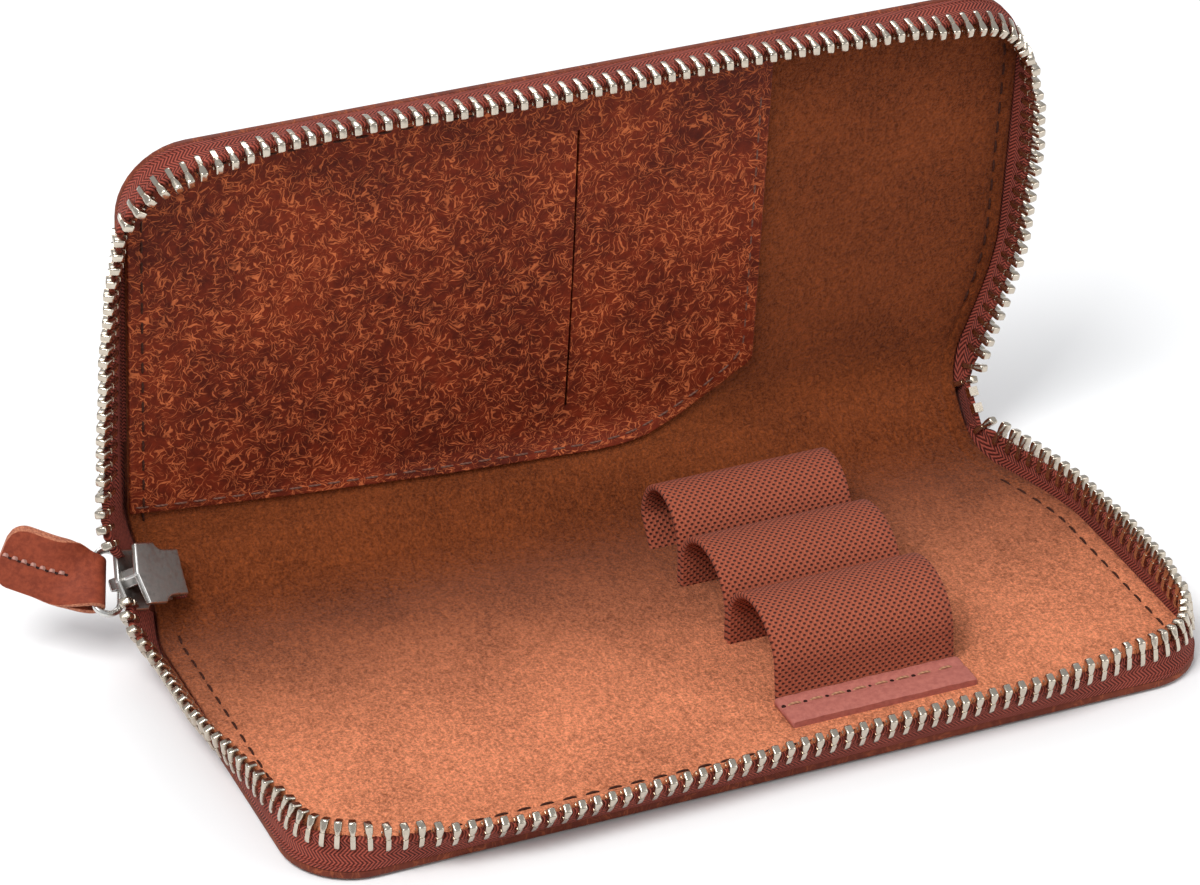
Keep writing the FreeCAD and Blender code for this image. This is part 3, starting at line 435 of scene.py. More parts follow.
class ZipPath:
    """Stations along one tape of the zip, by their run along the chain: foot, tip and directions."""

    def __init__(self, case, table, first):
        rim = np.arange(case.rim_start, case.rim_stop, case.tooth_pitch / 4)
        rows = [(s,) + self.rim_station(case, table, s) for s in np.append(rim, case.rim_stop)]
        rows = self.end_rows(case, table, -1)[::-1] + rows + self.end_rows(case, table, 1)
        self.run, origin, outward, self.tip = (np.array(column) for column in zip(*rows))
        self.foot = origin - outward * (case.tape / 2)
        self.length = np.linalg.norm(self.tip - self.foot, axis=1)
        self.rise = unit(self.tip - self.foot)
        self.across = unit(outward - self.rise * np.sum(outward * self.rise, 1)[:, None])
        count = np.arange(math.ceil((self.run[0] - first) / case.tooth_pitch),
                          math.floor((self.run[-1] - first) / case.tooth_pitch) + 1)
        self.teeth = first + count * case.tooth_pitch
        self.first = first
        self.on_rim = (self.run >= case.rim_start) & (self.run <= case.rim_stop)

    def rim_station(self, case, table, s):
        """Where the wall stands at s on the rim, its outward way and its tip."""
        edge, out = case.rim_point(s)
        outward = np.array([out[0], -out[1], 0.0])
        origin = case.place(edge[0], edge[1], case.leather)
        lean = math.asin(lean_at(table, s) / WALL_SLANT)
        foot = origin - outward * (case.tape / 2)
        tip = foot + (outward * math.sin(lean) + np.array([0.0, 0.0, math.cos(lean)])) * WALL_SLANT
        return origin, outward, tip

    def end_rows(self, case, table, side):
        """The free end of the tape: its foot keeps to the edge, its tip follows a curve to the spine."""
        rim_end = case.rim_start if side < 0 else case.rim_stop
        start = self.rim_station(case, table, rim_end)[2]
        if side < 0:
            edge_at, q_start, q_end = case.left_edge, LEFT_WALL_END, LEFT_FOOT_END
            end = case.at_slider(LEFT_TIP_END[0] - SLIDER_NOSE, LEFT_TIP_END[1], 0)
            into_throat = case.run * LEFT_TIP_RUN_IN[0] + case.along_spine * LEFT_TIP_RUN_IN[1]
            path = [start, start + np.array(LEFT_TIP_LEAD), end - into_throat * TIP_REACH, end]
        else:
            edge_at, q_start, q_end = case.right_edge, RIGHT_WALL_END, RIGHT_FOOT_END
            before = self.rim_station(case, table, rim_end - 1)[2]
            end = (case.spine_middle + case.spine_normal * RIGHT_TIP_END[0]
                   + case.along_spine * RIGHT_TIP_END[1]
                   + np.array([case.right_edge(0) + 2 * case.tape, 0.0, 0.0]))
            path = [start, start + (start - before) * TIP_REACH, end + np.array(RIGHT_TIP_RUN_IN), end]
        rows = []
        run = 0.0
        last = start
        a, b, c, d = path
        for i in range(1, FREE_END_STEPS + 1):
            t = i / FREE_END_STEPS
            tip = a * (1 - t) ** 3 + b * 3 * (1 - t) ** 2 * t + c * 3 * (1 - t) * t * t + d * t ** 3
            run += np.linalg.norm(tip - last)
            last = tip
            q = q_start + (q_end - q_start) * t
            slope = edge_at(q + 0.5) - edge_at(q - 0.5)
            towards_spine = case.place(0, q - 0.5, case.leather) - case.place(0, q + 0.5, case.leather)
            outward = unit((np.array([1.0, 0.0, 0.0]) + towards_spine * slope) * side)
            origin = case.place(edge_at(q), q, case.leather + FOOT_LIFT * t)
            rows.append((rim_end + side * run, origin, outward, tip))
        return rows

    def at(self, run):
        """Tip, across, rise and way at places along the chain."""
        def between(values):
            return stacked(*(np.interp(run, self.run, values[:, k]) for k in range(3)))

        across = unit(between(self.across))
        rise = unit(between(self.rise))
        return between(self.tip), across, rise, np.cross(rise, across)


# Meshes

def placed(name, data):
    """A new object of these data in the scene."""
    made = bpy.data.objects.new(name, data)
    bpy.context.scene.collection.objects.link(made)
    return made


class Shape:
    """Points, their places on the flat material and faces, gathered for one mesh."""

    def __init__(self):
        self.points = []
        self.lay = []
        self.faces = []
        self.marks = []
        self.count = 0

    def add(self, points, faces, lay=None, mark=0):
        points = np.asarray(points, float).reshape(-1, 3)
        lay = points if lay is None else np.asarray(lay, float).reshape(-1, 3)
        self.points.append(points)
        self.lay.append(lay)
        self.faces += [tuple(int(v) + self.count for v in face) for face in faces]
        self.marks += [mark] * len(faces)
        self.count += len(points)

    def tube(self, rings, lay=None, mark=0):
        """A closed skin over rings of points, with a face at each end."""
        rings = np.asarray(rings, float)
        steps, sides = rings.shape[:2]
        faces = []
        for i in range(steps - 1):
            for j in range(sides):
                k = (j + 1) % sides
                faces.append((i * sides + j, i * sides + k, (i + 1) * sides + k, (i + 1) * sides + j))
        faces.append(tuple(range(sides))[::-1])
        faces.append(tuple((steps - 1) * sides + j for j in range(sides)))
        self.add(rings, faces, lay, mark)

    def prism(self, outline, direction, mark=0):
        outline = np.asarray(outline, float)
        self.tube(np.stack([outline, outline + direction]), mark=mark)

    def piece(self, name, slot, sharp=50, paints=()):
        """Makes the object, with outward faces, soft edges up to an angle and its materials.

        Without paints, the material is the one named like the slot."""
        mesh = bpy.data.meshes.new(name)
        mesh.from_pydata((np.concatenate(self.points) * MM).tolist(), [], self.faces)
        mesh.polygons.foreach_set("material_index", self.marks)
        lay = mesh.attributes.new("lay", "FLOAT_VECTOR", "POINT")
        lay.data.foreach_set("vector", np.concatenate(self.lay).astype(np.float32).ravel())
        work = bmesh.new()
        work.from_mesh(mesh)
        bmesh.ops.recalc_face_normals(work, faces=work.faces)
        work.to_mesh(mesh)
        work.free()
        mesh.shade_smooth()
        mesh.set_sharp_from_angle(angle=math.radians(sharp))
        for paint in paints or (slot,):
            mesh.materials.append(paint_named(paint))
        return placed(name, mesh)


def cut_edge(low, high, radius, steps=3):
    """Profile of a rounded cut edge, as pairs of inset and height, from the underside to the top."""
    turns = [math.pi / 2 * i / steps for i in range(steps + 1)]
    under = [(radius * (1 - math.sin(turn)), low + radius * (1 - math.cos(turn))) for turn in turns]
    over = [(radius * (1 - math.cos(turn)), high - radius * (1 - math.sin(turn))) for turn in turns]
    return under + over


def add_sheet(shape, case, outline, profile, columns, side=1, closed=False, hole=None, relief=None):
    """A sheet of the case with an underside, a top and rounded edges.

    outline gives the two ends (x, q) of every row at an inset; profile runs from underside to top.
    A sheet that isn't closed is cut straight across at its first row. A hole is given as its first
    row, last row, first column and last column, and relief adds to the height."""
    grids = []
    for inset, height in profile:
        left, right = outline(inset)
        flat = left[:, None, :] + (right - left)[:, None, :] * columns[None, :, None]
        n = np.full(flat.shape[:2], float(height))
        if relief is not None:
            n = n + relief(flat[..., 0], flat[..., 1])
        grids.append(np.concatenate([flat, n[..., None]], -1))
    rows, cols = grids[0].shape[:2]
    border = [(r, 0) for r in range(rows)] + [(rows - 1, c) for c in range(1, cols)]
    border += [(r, cols - 1) for r in range(rows - 2, -1, -1)]
    if closed:
        border += [(0, c) for c in range(cols - 2, 0, -1)]
    r, c = np.array(border).T
    size = rows * cols
    flat = np.concatenate([grids[0].reshape(-1, 3), grids[-1].reshape(-1, 3)]
                          + [grid[r, c] for grid in grids[1:-1]])
    loops = [r * cols + c]
    loops += [2 * size + k * len(border) + np.arange(len(border)) for k in range(len(grids) - 2)]
    loops.append(size + r * cols + c)
    faces = []
    for i in range(rows - 1):
        for j in range(cols - 1):
            if hole and hole[0] <= i < hole[1] and hole[2] <= j < hole[3]:
                continue
            a = i * cols + j
            faces.append((a, a + 1, a + cols + 1, a + cols))
            faces.append((size + a, size + a + cols, size + a + cols + 1, size + a + 1))
    span = len(border) if closed else len(border) - 1
    for low, high in zip(loops, loops[1:]):
        for j in range(span):
            k = (j + 1) % len(border)
            faces.append((low[j], low[k], high[k], high[j]))
    if hole:
        top, bottom, left, right = hole
        ring = [(top, j) for j in range(left, right)] + [(i, right) for i in range(top, bottom)]
        ring += [(bottom, j) for j in range(right, left, -1)] + [(i, left) for i in range(bottom, top, -1)]
        spots = [i * cols + j for i, j in ring]
        for a, b in zip(spots, spots[1:] + spots[:1]):
            faces.append((a, size + a, size + b, b))
    if not closed:
        ends = [loop[-1] for loop in loops[1:-1]]
        starts = [loop[0] for loop in loops[1:-1]]
        faces.append(tuple(range(cols)) + tuple(ends)
                     + tuple(size + j for j in range(cols - 1, -1, -1)) + tuple(starts[::-1]))
    flat[:, 1] *= side
    shape.add(case.place(flat[:, 0], flat[:, 1], flat[:, 2]), faces, flat)


def add_thread(shape, start, end, up, radius, sink=0.25, mark=0):
    """One stitch: a round thread that dips into the surface at both ends."""
    start, end, up = (np.asarray(v, float) for v in (start, end, up))
    way = end - start
    reach = np.linalg.norm(way)
    way = way / reach
    side = np.cross(way, up)
    t = THREAD_STEPS
    height = np.sin(np.pi * t) ** 0.5 * (radius + sink) - sink
    girth = radius * THREAD_GIRTH
    turn = np.arange(8) * math.pi / 4
    ring = np.cos(turn)[:, None] * side + np.sin(turn)[:, None] * up
    centre = start + t[:, None] * way * reach + height[:, None] * up
    rings = centre[:, None, :] + girth[:, None, None] * ring
    shape.tube(rings, stacked(t[:, None] * reach, turn, 0), mark)


def add_hole(shape, centre, up, radius):
    """The dimple that a needle leaves between two stitches, drawn as a small disc in a near-black painted
    shade for the hole's shadow.
    """
    centre, up = np.asarray(centre, float), np.asarray(up, float)
    side = unit(np.cross(up, np.array([0.3, 0.9, 0.2])))
    other = np.cross(up, side)
    turn = np.arange(10) * math.pi / 5
    ring = np.cos(turn)[:, None] * side + np.sin(turn)[:, None] * other
    rings = [centre + ring * radius * share + up * lift for share, lift in HOLE_RINGS]
    shape.tube(rings, None, 1)


# Shaders

class Paint:
    """One output socket of a material's nodes; sums on it add Math nodes."""

    def __init__(self, socket):
        self.socket = socket

    def node(self, kind, settings=(), inputs=(), output=0):
        """Adds a node of a kind: first its settings, such as a ramp's stops, then values or links."""
        tree = self.socket.id_data
        made = tree.nodes.new(kind)
        for name, value in dict(settings).items():
            if name == "stops":
                while len(made.color_ramp.elements) < len(value):
                    made.color_ramp.elements.new(1.0)
                for element, (spot, tint) in zip(made.color_ramp.elements, value):
                    element.position = spot
                    element.color = tuple(tint) + (1.0,)
            else:
                setattr(made, name, value)
        for key, value in dict(inputs).items():
            if isinstance(value, Paint):
                tree.links.new(value.socket, made.inputs[key])
            elif hasattr(value, "__len__") and len(value) == 3 and made.inputs[key].type == "RGBA":
                made.inputs[key].default_value = tuple(value) + (1.0,)
            else:
                made.inputs[key].default_value = value
        return Paint(made.outputs[output])

    def maths(self, operation, *values):
        return self.node("ShaderNodeMath", {"operation": operation}, dict(enumerate(values)))

    def __add__(self, other):
        return self.maths("ADD", self, other)

    __radd__ = __add__

    def __sub__(self, other):
        return self.maths("SUBTRACT", self, other)

    def __rsub__(self, other):
        return self.maths("SUBTRACT", other, self)

    def __mul__(self, other):
        return self.maths("MULTIPLY", self, other)

    __rmul__ = __mul__

    def __truediv__(self, other):
        return self.maths("DIVIDE", self, other)

    def __mod__(self, other):
        return self.maths("FLOORED_MODULO", self, other)

    def __abs__(self):
        return self.maths("ABSOLUTE", self)

    def __pow__(self, other):
        return self.maths("POWER", self, other)

    def smooth(self, low, high):
        """Eased from 0 at low to 1 at high."""
        return self.node("ShaderNodeMapRange", {"interpolation_type": "SMOOTHSTEP"},
                         {"Value": self, "From Min": low, "From Max": high})

    def wave(self):
        return self.maths("SINE", self)

    def axis(self, index):
        return self.node("ShaderNodeSeparateXYZ", (), {0: self}, index)

    def stretched(self, *factors):
        return self.node("ShaderNodeVectorMath", {"operation": "MULTIPLY"}, {0: self, 1: factors})

    def moved(self, other):
        return self.node("ShaderNodeVectorMath", {"operation": "ADD"}, {0: self, 1: other})

    def noise(self, scale, detail=2.0, roughness=0.5, distortion=0.0, output=0):
        """Cloudy noise over this place: about so many features a millimetre."""
        inputs = {"Vector": self, "Scale": scale, "Detail": detail, "Roughness": roughness,
                  "Distortion": distortion}
        return self.node("ShaderNodeTexNoise", (), inputs, output)

    def tint(self, low, high):
        """Colour from low at 0 to high at 1; either may be a socket."""
        return self.node("ShaderNodeMix", {"data_type": "RGBA"}, {0: self, 6: low, 7: high}, 2)

    def mixed(self, other, share, blend="MIX"):
        """This colour mixed with another by a fixed share."""
        settings = {"data_type": "RGBA", "blend_type": blend}
        return self.node("ShaderNodeMix", settings, {0: share, 6: self, 7: other}, 2)


class Material:
    """A new material round the Principled shader, with the place on the flat material in millimetres."""

    def __init__(self, name):
        self.made = bpy.data.materials.new(name)
        self.made.use_nodes = True
        self.nodes = self.made.node_tree.nodes
        self.shader = self.nodes["Principled BSDF"]
        attribute = self.nodes.new("ShaderNodeAttribute")
        attribute.attribute_name = "lay"
        self.lay = Paint(attribute.outputs["Vector"])
        place = self.nodes.new("ShaderNodeTexCoord")
        self.place = Paint(place.outputs["Object"]).stretched(1000, 1000, 1000)

    def finish(self, base, roughness, height=None, depth=0.1, **constants):
        """Links the colour and roughness, adds a bump of a depth in millimetres and sets the rest."""
        self.put("Base Color", base)
        self.put("Roughness", roughness)
        for name, value in constants.items():
            self.put(name.replace("_", " "), value)
        if height is not None:
            self.put("Normal", height.node("ShaderNodeBump", (), {"Height": height, "Strength": 1.0,
                                                                  "Distance": depth * MM}))
        return self.made

    def put(self, name, value):
        if isinstance(value, Paint):
            self.made.node_tree.links.new(value.socket, self.shader.inputs[name])
        elif hasattr(value, "__len__") and len(value) == 3:
            self.shader.inputs[name].default_value = tuple(value) + (1.0,)
        else:
            self.shader.inputs[name].default_value = value


def colours():
    return bpy.context.scene.pen_case_colours


def strands(place, angle, reach, seed):
    """Thin strands about as long as the reach, lying near an angle; the place is warped, so they curl."""
    x, y = place.axis(0), place.axis(1)
    along = (x * math.cos(angle) + y * math.sin(angle)) / reach
    across = (y * math.cos(angle) - x * math.sin(angle)) * 3.3
    spot = along.node("ShaderNodeCombineXYZ", (), {0: along, 1: across, 2: seed * 3.7})
    return spot.noise(1.0, 0.0).smooth(0.69, 0.80)


def pull_up_leather(name, ground, warm, mark, strength):
    """Waxed pull-up leather: dark ground, warm patches and dense curly lighter marks."""
    paint = Material(name)
    place = paint.lay
    patches = place.noise(0.05, 3.0, 0.6).smooth(0.36, 0.66)
    mottle = place.noise(0.55, 4.0, 0.65).smooth(0.32, 0.7)
    warp = place.noise(0.30, 2.0, 0.5, output=1).moved((-0.5, -0.5, -0.5)).stretched(4.2, 4.2, 0.0)
    curly = place.moved(warp)
    hairs = strands(curly, 0.0, 2.2, 1)
    for turn in range(1, 7):
        hairs = hairs.maths("MAXIMUM", hairs, strands(curly, turn * math.pi / 7, 2.2, turn + 1))
    base = (patches * 0.4 + mottle * 0.45).tint(ground, warm)
    base = (hairs * (mottle * 0.35 + patches * 0.2 + 0.4) * strength).tint(base, mark)
    grain = place.noise(2.2, 4.0, 0.6)
    roughness = 0.45 + hairs * 0.25 + grain * 0.12
    height = grain * 0.5 + place.noise(0.5, 2.0, 0.5) * 0.6 + hairs * 0.3
    return paint.finish(base, roughness, height, 0.09, Specular_IOR_Level=0.12)


def suede(name):
    """Short-napped suede with fine speckle and brushed streaks, and painted light: the lid and spine take a
    painted-shade colour, and the tray grows lighter towards its front, where more light falls.
    """
    paint = Material(name)
    tone = colours()
    flat = paint.lay
    # Painted light: from the painted-shade colour near the fold to the lit colour at the tray's front
    painted_light_towards_front = flat.axis(1).smooth(6.0, 64.0)
    ground = painted_light_towards_front.tint(tone.suede_lid, tone.suede_tray)
    streaks = flat.stretched(1.0, 0.5, 1.0).noise(1.3, 3.0, 0.65, 0.4).smooth(0.3, 0.7)
    clouds = flat.noise(0.06, 3.0, 0.55).smooth(0.3, 0.7)
    speckle = flat.noise(2.3, 3.0, 0.75).smooth(0.28, 0.72)
    shade = streaks * 0.28 + clouds * 0.17 + speckle * 0.55
    dark = ground.mixed((0.27, 0.21, 0.16), 1.0, "MULTIPLY")
    light = ground.mixed((1.55, 1.6, 1.7), 1.0, "MULTIPLY")
    return paint.finish(shade.tint(dark, light), 0.95, streaks * 0.4 + speckle * 0.8, 0.25,
                        Sheen_Weight=0.06, Sheen_Roughness=0.45, Specular_IOR_Level=0.05)


def woven_tape(name):
    """Herringbone tape: diagonal threads that turn at every band along the tape; the gaps between threads
    are darkened to near black, painted shade, while the threads keep the tape's own colour.
    """
    paint = Material(name)
    tone = colours()
    run, height = paint.lay.axis(0), paint.lay.axis(1)
    zigzag = abs((height / 2.6) % 1.0 - 0.5) * 2
    threads = ((run / 0.70 + zigzag * 1.8) * (2 * math.pi)).wave() * 0.5 + 0.5
    picks = ((height / 0.42) * (2 * math.pi)).wave() * 0.5 + 0.5
    fuzz = paint.lay.noise(2.5, 3.0, 0.6)
    wear = paint.lay.noise(0.09, 2.0, 0.5).smooth(0.3, 0.7)
    raised = threads * 0.75 + picks * threads * 0.35
    # Colour follows the threads' height: the low gaps get painted shade
    base = (raised * 0.8 + fuzz * 0.3 + wear * 0.12 - 0.15).tint(tone.tape_dark, tone.tape_light)
    return paint.finish(base, 0.8, raised + fuzz * 0.3, 0.16, Sheen_Weight=0.03, Specular_IOR_Level=0.12)


def knitted_elastic(name):
    """Knitted elastic: rows of pinholes, each row set half a step from the next; the pinholes are coloured
    near black, painted shade for their hollows.
    """
    paint = Material(name)
    across, along = paint.lay.axis(0), paint.lay.axis(1)
    row = along / 0.62
    odd = (row.maths("FLOOR", row) % 2.0) * 0.5
    u = ((across / 1.16 + odd) % 1.0 - 0.5) * 1.16
    v = (row % 1.0 - 0.5) * 0.62
    reach = (u * u * 0.9 + v * v * 1.6) ** 0.5
    hole = 1 - reach.smooth(0.10, 0.34)
    rib = ((across / 1.16) * (4 * math.pi)).wave() * 0.5 + 0.5
    fuzz = paint.lay.noise(2.8, 3.0, 0.65)
    shade = (rib * 0.25 + fuzz * 0.75).smooth(0.1, 0.9)
    light = shade.tint((0.20, 0.042, 0.022), (0.43, 0.13, 0.07))
    light = light.mixed(colours().elastic, 0.45)
    # Painted shade: the pinholes are darkened to near black
    base = (hole * 0.93).tint(light, (0.035, 0.008, 0.006))
    return paint.finish(base, 0.85, rib * 0.25 + fuzz * 0.3 - hole * 1.2, 0.25, Sheen_Weight=0.05,
                        Specular_IOR_Level=0.12)


def smooth_leather(name, ground, light, dark):
    """Plainer leather with fine grain and soft mottling."""
    paint = Material(name)
    place = paint.lay
    mottle = place.noise(0.9, 4.0, 0.65).smooth(0.3, 0.7)
    grain = place.noise(4.0, 3.0, 0.6)
    base = mottle.tint(dark, light)
    base = base.mixed(ground, 0.5)
    return paint.finish(base, 0.52 + grain * 0.2, grain * 0.8 + mottle * 0.4, 0.08, Specular_IOR_Level=0.2)


def raw_edge(name):
    """The fibrous cut edge of leather."""
    paint = Material(name)
    tone = colours()
    fibres = paint.place.noise(3.0, 4.0, 0.7)
    base = fibres.smooth(0.3, 0.7).tint(tone.pull, tone.raw_edge)
    return paint.finish(base, 0.8, fibres, 0.12)


def metal(name, ground, roughness, scratch, patchy):
    """Bare metal with fine scratches and slight tarnish."""
    paint = Material(name)
    lines = paint.place.stretched(1.0, 0.15, 1.0).noise(6.0, 3.0, 0.6)
    stain = paint.place.noise(0.9, 3.0, 0.6).smooth(0.35, 0.75)
    base = (stain * patchy * 3).tint(ground, tuple(c * 0.62 for c in ground))
    rough = roughness + stain * patchy + lines * scratch
    return paint.finish(base, rough, lines, 0.006, Metallic=1.0)


def sewing_thread(name, ground):
    """Two-ply thread: a twist along its length."""
    paint = Material(name)
    along, turn = paint.lay.axis(0), paint.lay.axis(1)
    twist = (along * 7.5 + turn).wave() * 0.5 + 0.5
    base = (twist * 0.7 + paint.place.noise(3.0) * 0.3).tint(tuple(c * 0.45 for c in ground), ground)
    return paint.finish(base, 0.7, twist, 0.06, Specular_IOR_Level=0.2)


def pressed_board(name):
    """Grey board with pale flecks."""
    paint = Material(name)
    flecks = paint.place.noise(1.5, 5.0, 0.7)
    return paint.finish(flecks.tint((0.22, 0.19, 0.16), (0.42, 0.37, 0.31)), 0.85, flecks, 0.05)


# Each material's maker and what it is given: a name in the colours, a colour or a number
MAKERS = {
    "cover_leather": (pull_up_leather, "cover", (0.19, 0.042, 0.02), (0.36, 0.10, 0.045), 0.7),
    "pocket_leather": (pull_up_leather, "hide_dark", "hide_warm", "hide_mark", 1.0),
    "suede_lining": (suede,),
    "zip_tape": (woven_tape,),
    "elastic": (knitted_elastic,),
    "tab_leather": (smooth_leather, "tab", (0.50, 0.17, 0.13), (0.30, 0.085, 0.07)),
    "pull_leather": (smooth_leather, "pull", (0.33, 0.066, 0.028), (0.13, 0.020, 0.009)),
    "raw_edge": (raw_edge,),
    "nickel_teeth": (metal, "nickel", 0.13, 0.1, 0.12),
    "slider_zinc": (metal, "zinc", 0.33, 0.2, 0.3),
    "polished_zinc": (metal, (0.72, 0.70, 0.67), 0.22, 0.1, 0.06),
    "link_steel": (metal, (0.66, 0.65, 0.62), 0.2, 0.1, 0.08),
    "board": (pressed_board,),
    "dark_thread": (sewing_thread, "thread_dark"),
    "light_thread": (sewing_thread, "thread_light"),
    "tan_thread": (sewing_thread, "thread_tan"),
    "pocket_thread": (sewing_thread, "thread_pocket"),
    # Painted shade: near-black for the shadow in the needle holes
    "needle_hole": (sewing_thread, (0.03, 0.008, 0.006)),
}


def paint_named(name):
    """The material of this name, made the first time it is asked for."""
    own = "dressed_" + name
    maker, *values = MAKERS[name]
    values = [tuple(getattr(colours(), value)) if isinstance(value, str) else value for value in values]
    return bpy.data.materials.get(own) or maker(own, *values)


# Pieces

SIDES = (("tray", 1), ("lid", -1))


def wall_ends(case, side, points=WALL_TURN):
    """The two points, in metres, between which the zip's free ends turn from tray or lid to spine."""
    return [tuple(point * MM) for point in case.on_side(np.array(points), side)]


def fold_ends(case, side):
    """The two points, in metres, between which a sheet turns from the tray or lid to the spine."""
    before = case.fold - np.array([0.0, FOLD_HALF_WIDTH, 0.0])
    return wall_ends(case, side, [before, case.fold + case.along_spine * FOLD_HALF_WIDTH])


def build_cover(case):
    """The leather cover, in two pieces that meet at the middle of the spine."""
    profile = cut_edge(0.0, case.leather, 0.5)
    for name, side in SIDES:
        shape = Shape()
        add_sheet(shape, case, case.panel_rows, profile, PANEL_COLUMNS, side)
        cover = shape.piece("cover_" + name, "cover_leather")
        crease = "cover_lower_crease" if side > 0 else "cover_upper_crease"
        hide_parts("cover_" + name + "_panel", crease, "cover_spine_strip")
        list(fold_ends(case, side))
        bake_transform(cover)


def build_lining(case):
    """The suede lining in two pieces, each with the groove that its seam pulls in."""
    for name, side in SIDES:
        shape = Shape()
        groove = SEAM_INSET[name] - LINING_INSET
        profile = cut_edge(case.leather + case.tape, case.stack, 0.3)
        profile += [(groove + shift, case.stack - dip) for shift, dip in SEAM_DIPS]
        profile = [(LINING_INSET + inset, height) for inset, height in profile]
        add_sheet(shape, case, case.panel_rows, profile, PANEL_COLUMNS, side)
        lining = shape.piece("lining_" + name, "suede_lining")
        crease = "lining_lower_crease" if side > 0 else "lining_upper_crease"
        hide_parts(name + "_lining", crease, "lining_spine_strip")
        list(fold_ends(case, side))
        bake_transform(lining)


def zip_paths(case):
    """Each side with its tape's path; the lid's teeth stand between the tray's."""
    start = case.rim_start + case.tooth_length / 2
    return ((SIDES[0], ZipPath(case, TRAY_LEAN, start)),
            (SIDES[1], ZipPath(case, LID_LEAN, start + case.tooth_pitch / 2)))


def build_tapes(case):
    """The two woven tapes: flange under the lining, wall, and the corded edge that the teeth grip."""
    half = case.tape / 2
    for (name, side), path in zip_paths(case):
        top = path.length - TOOTH_REACH - CORD_DROP
        phase = (path.run - path.first) / case.tooth_pitch * 2 * math.pi
        cord = CORD_RADIUS - CORD_WAVE * np.cos(phase)
        outer = [(half, height) for height in (top * 0.0, top * 0.3, top * 0.6, top - CORD_ROOT)]
        bead = [(cord * math.cos(turn), top + cord * math.sin(turn))
                for turn in np.radians(np.linspace(-48, 228, 11))]
        ring = outer + bead + [(-a, b) for a, b in reversed(outer)]
        a, b = (np.stack([np.broadcast_to(pair[k], top.shape) for pair in ring], -1) for k in (0, 1))
        points = path.foot[:, None] + a[..., None] * path.across[:, None] + b[..., None] * path.rise[:, None]
        shape = Shape()
        shape.tube(case.on_side(points, side), stacked(path.run[:, None], b, a))
        rim = path.on_rim
        low = path.foot[rim] + half * path.across[rim]
        low[:, 2] = case.leather
        reach = unit(path.across[rim] * np.array([-1.0, -1.0, 0.0])) * FLANGE_WIDTH
        up = np.array([0.0, 0.0, case.tape * 0.9])
        flange = np.stack([low, low + up, low + reach + up, low + reach], 1)
        flange_lay = stacked(path.run[rim][:, None], [0.0, 0.8, 6.8, 7.6], 0)
        shape.tube(case.on_side(flange, side), flange_lay)
        tape = shape.piece("tape_" + name, "zip_tape", 60)
        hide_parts(name + "_zip_tape", name + "_tape_left_end", name + "_tape_right_end")
        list(wall_ends(case, side))
        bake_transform(tape)


def tooth_rings():
    """One tooth as three stacks of rings (across, way, rise from the tip): the head and its two legs."""
    turn = np.arange(16) * math.pi / 8
    square = stacked(*(np.sign(wave) * np.abs(wave) ** TOOTH_SQUARENESS
                       for wave in (np.cos(turn), np.sin(turn))))
    stacks = [[np.column_stack([square * np.array([wide, thick]), np.full(16, rise)])
               for rise, wide, thick in TOOTH_HEAD]]
    for sign in (-1, 1):
        rings = []
        for rise, middle, wide, thick in TOOTH_LEG:
            ring = square[::2] * np.array([wide, thick]) + np.array([sign * middle, 0.0])
            rings.append(np.column_stack([ring, np.full(8, rise)]))
        stacks.append(rings)
    return [np.array(rings) for rings in stacks]


def build_teeth(case):
    """The metal teeth of both tapes: those on the rim ride with their side's body, those on the free ends
    are set along the tape's curve.
    """
    stacks = tooth_rings()
    for (name, side), path in zip_paths(case):
        groups = {"rim": (path.teeth >= case.rim_start) & (path.teeth <= case.rim_stop),
                  "left": path.teeth < case.rim_start, "right": path.teeth > case.rim_stop}
        for group, chosen in groups.items():
            shape = Shape()
            tip, across, rise, way = path.at(path.teeth[chosen])
            for k in range(len(tip)):
                axes = np.stack([across[k], way[k], rise[k]])
                for rings in stacks:
                    shape.tube(case.on_side(tip[k] + rings @ axes, side), rings)
            teeth = shape.piece("teeth_" + name + "_" + group, "nickel_teeth", 60)
            if group == "rim":
                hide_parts(name + "_zip_teeth")
                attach(teeth, name)
            else:
                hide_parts(name + "_teeth_" + group + "_end")
                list(wall_ends(case, side))
                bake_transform(teeth)


def build_seams(case):
    """The seams round the tray and the lid; the lid's also goes over the pocket."""
    for name, side in SIDES:
        shape = Shape()
        inset = SEAM_INSET[name]
        left_end = case.rim_length(LEFT_SEAM_END, inset)
        right_end = case.rim_length(case.panel_start + SEAM_END, inset)
        for s in np.arange(-left_end, right_end - case.stitch, case.stitch_pitch):
            a, b = case.rim_point(s, inset)[0], case.rim_point(s + case.stitch, inset)[0]
            if side < 0 and a[0] < POCKET_RIGHT <= b[0]:
                continue
            on_pocket = side < 0 and b[0] < POCKET_RIGHT and a[1] > case.half_spine + pocket_low(a[0])
            height = case.stack - LINING_STITCH_DEPTH
            if on_pocket:
                height = case.stack + case.pocket_leather - RIM_STITCH_DEPTH_ON_POCKET
            start, stop = case.place([a[0], b[0]], [side * a[1], side * b[1]], height)
            up = case.place(a[0], side * a[1], height + 1) - start
            add_thread(shape, start, stop, unit(up), case.thread / 2)
        seam = shape.piece("seam_" + name, "dark_thread")
        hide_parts(name + "_seam_stitches")
        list(fold_ends(case, side))
        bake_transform(seam)


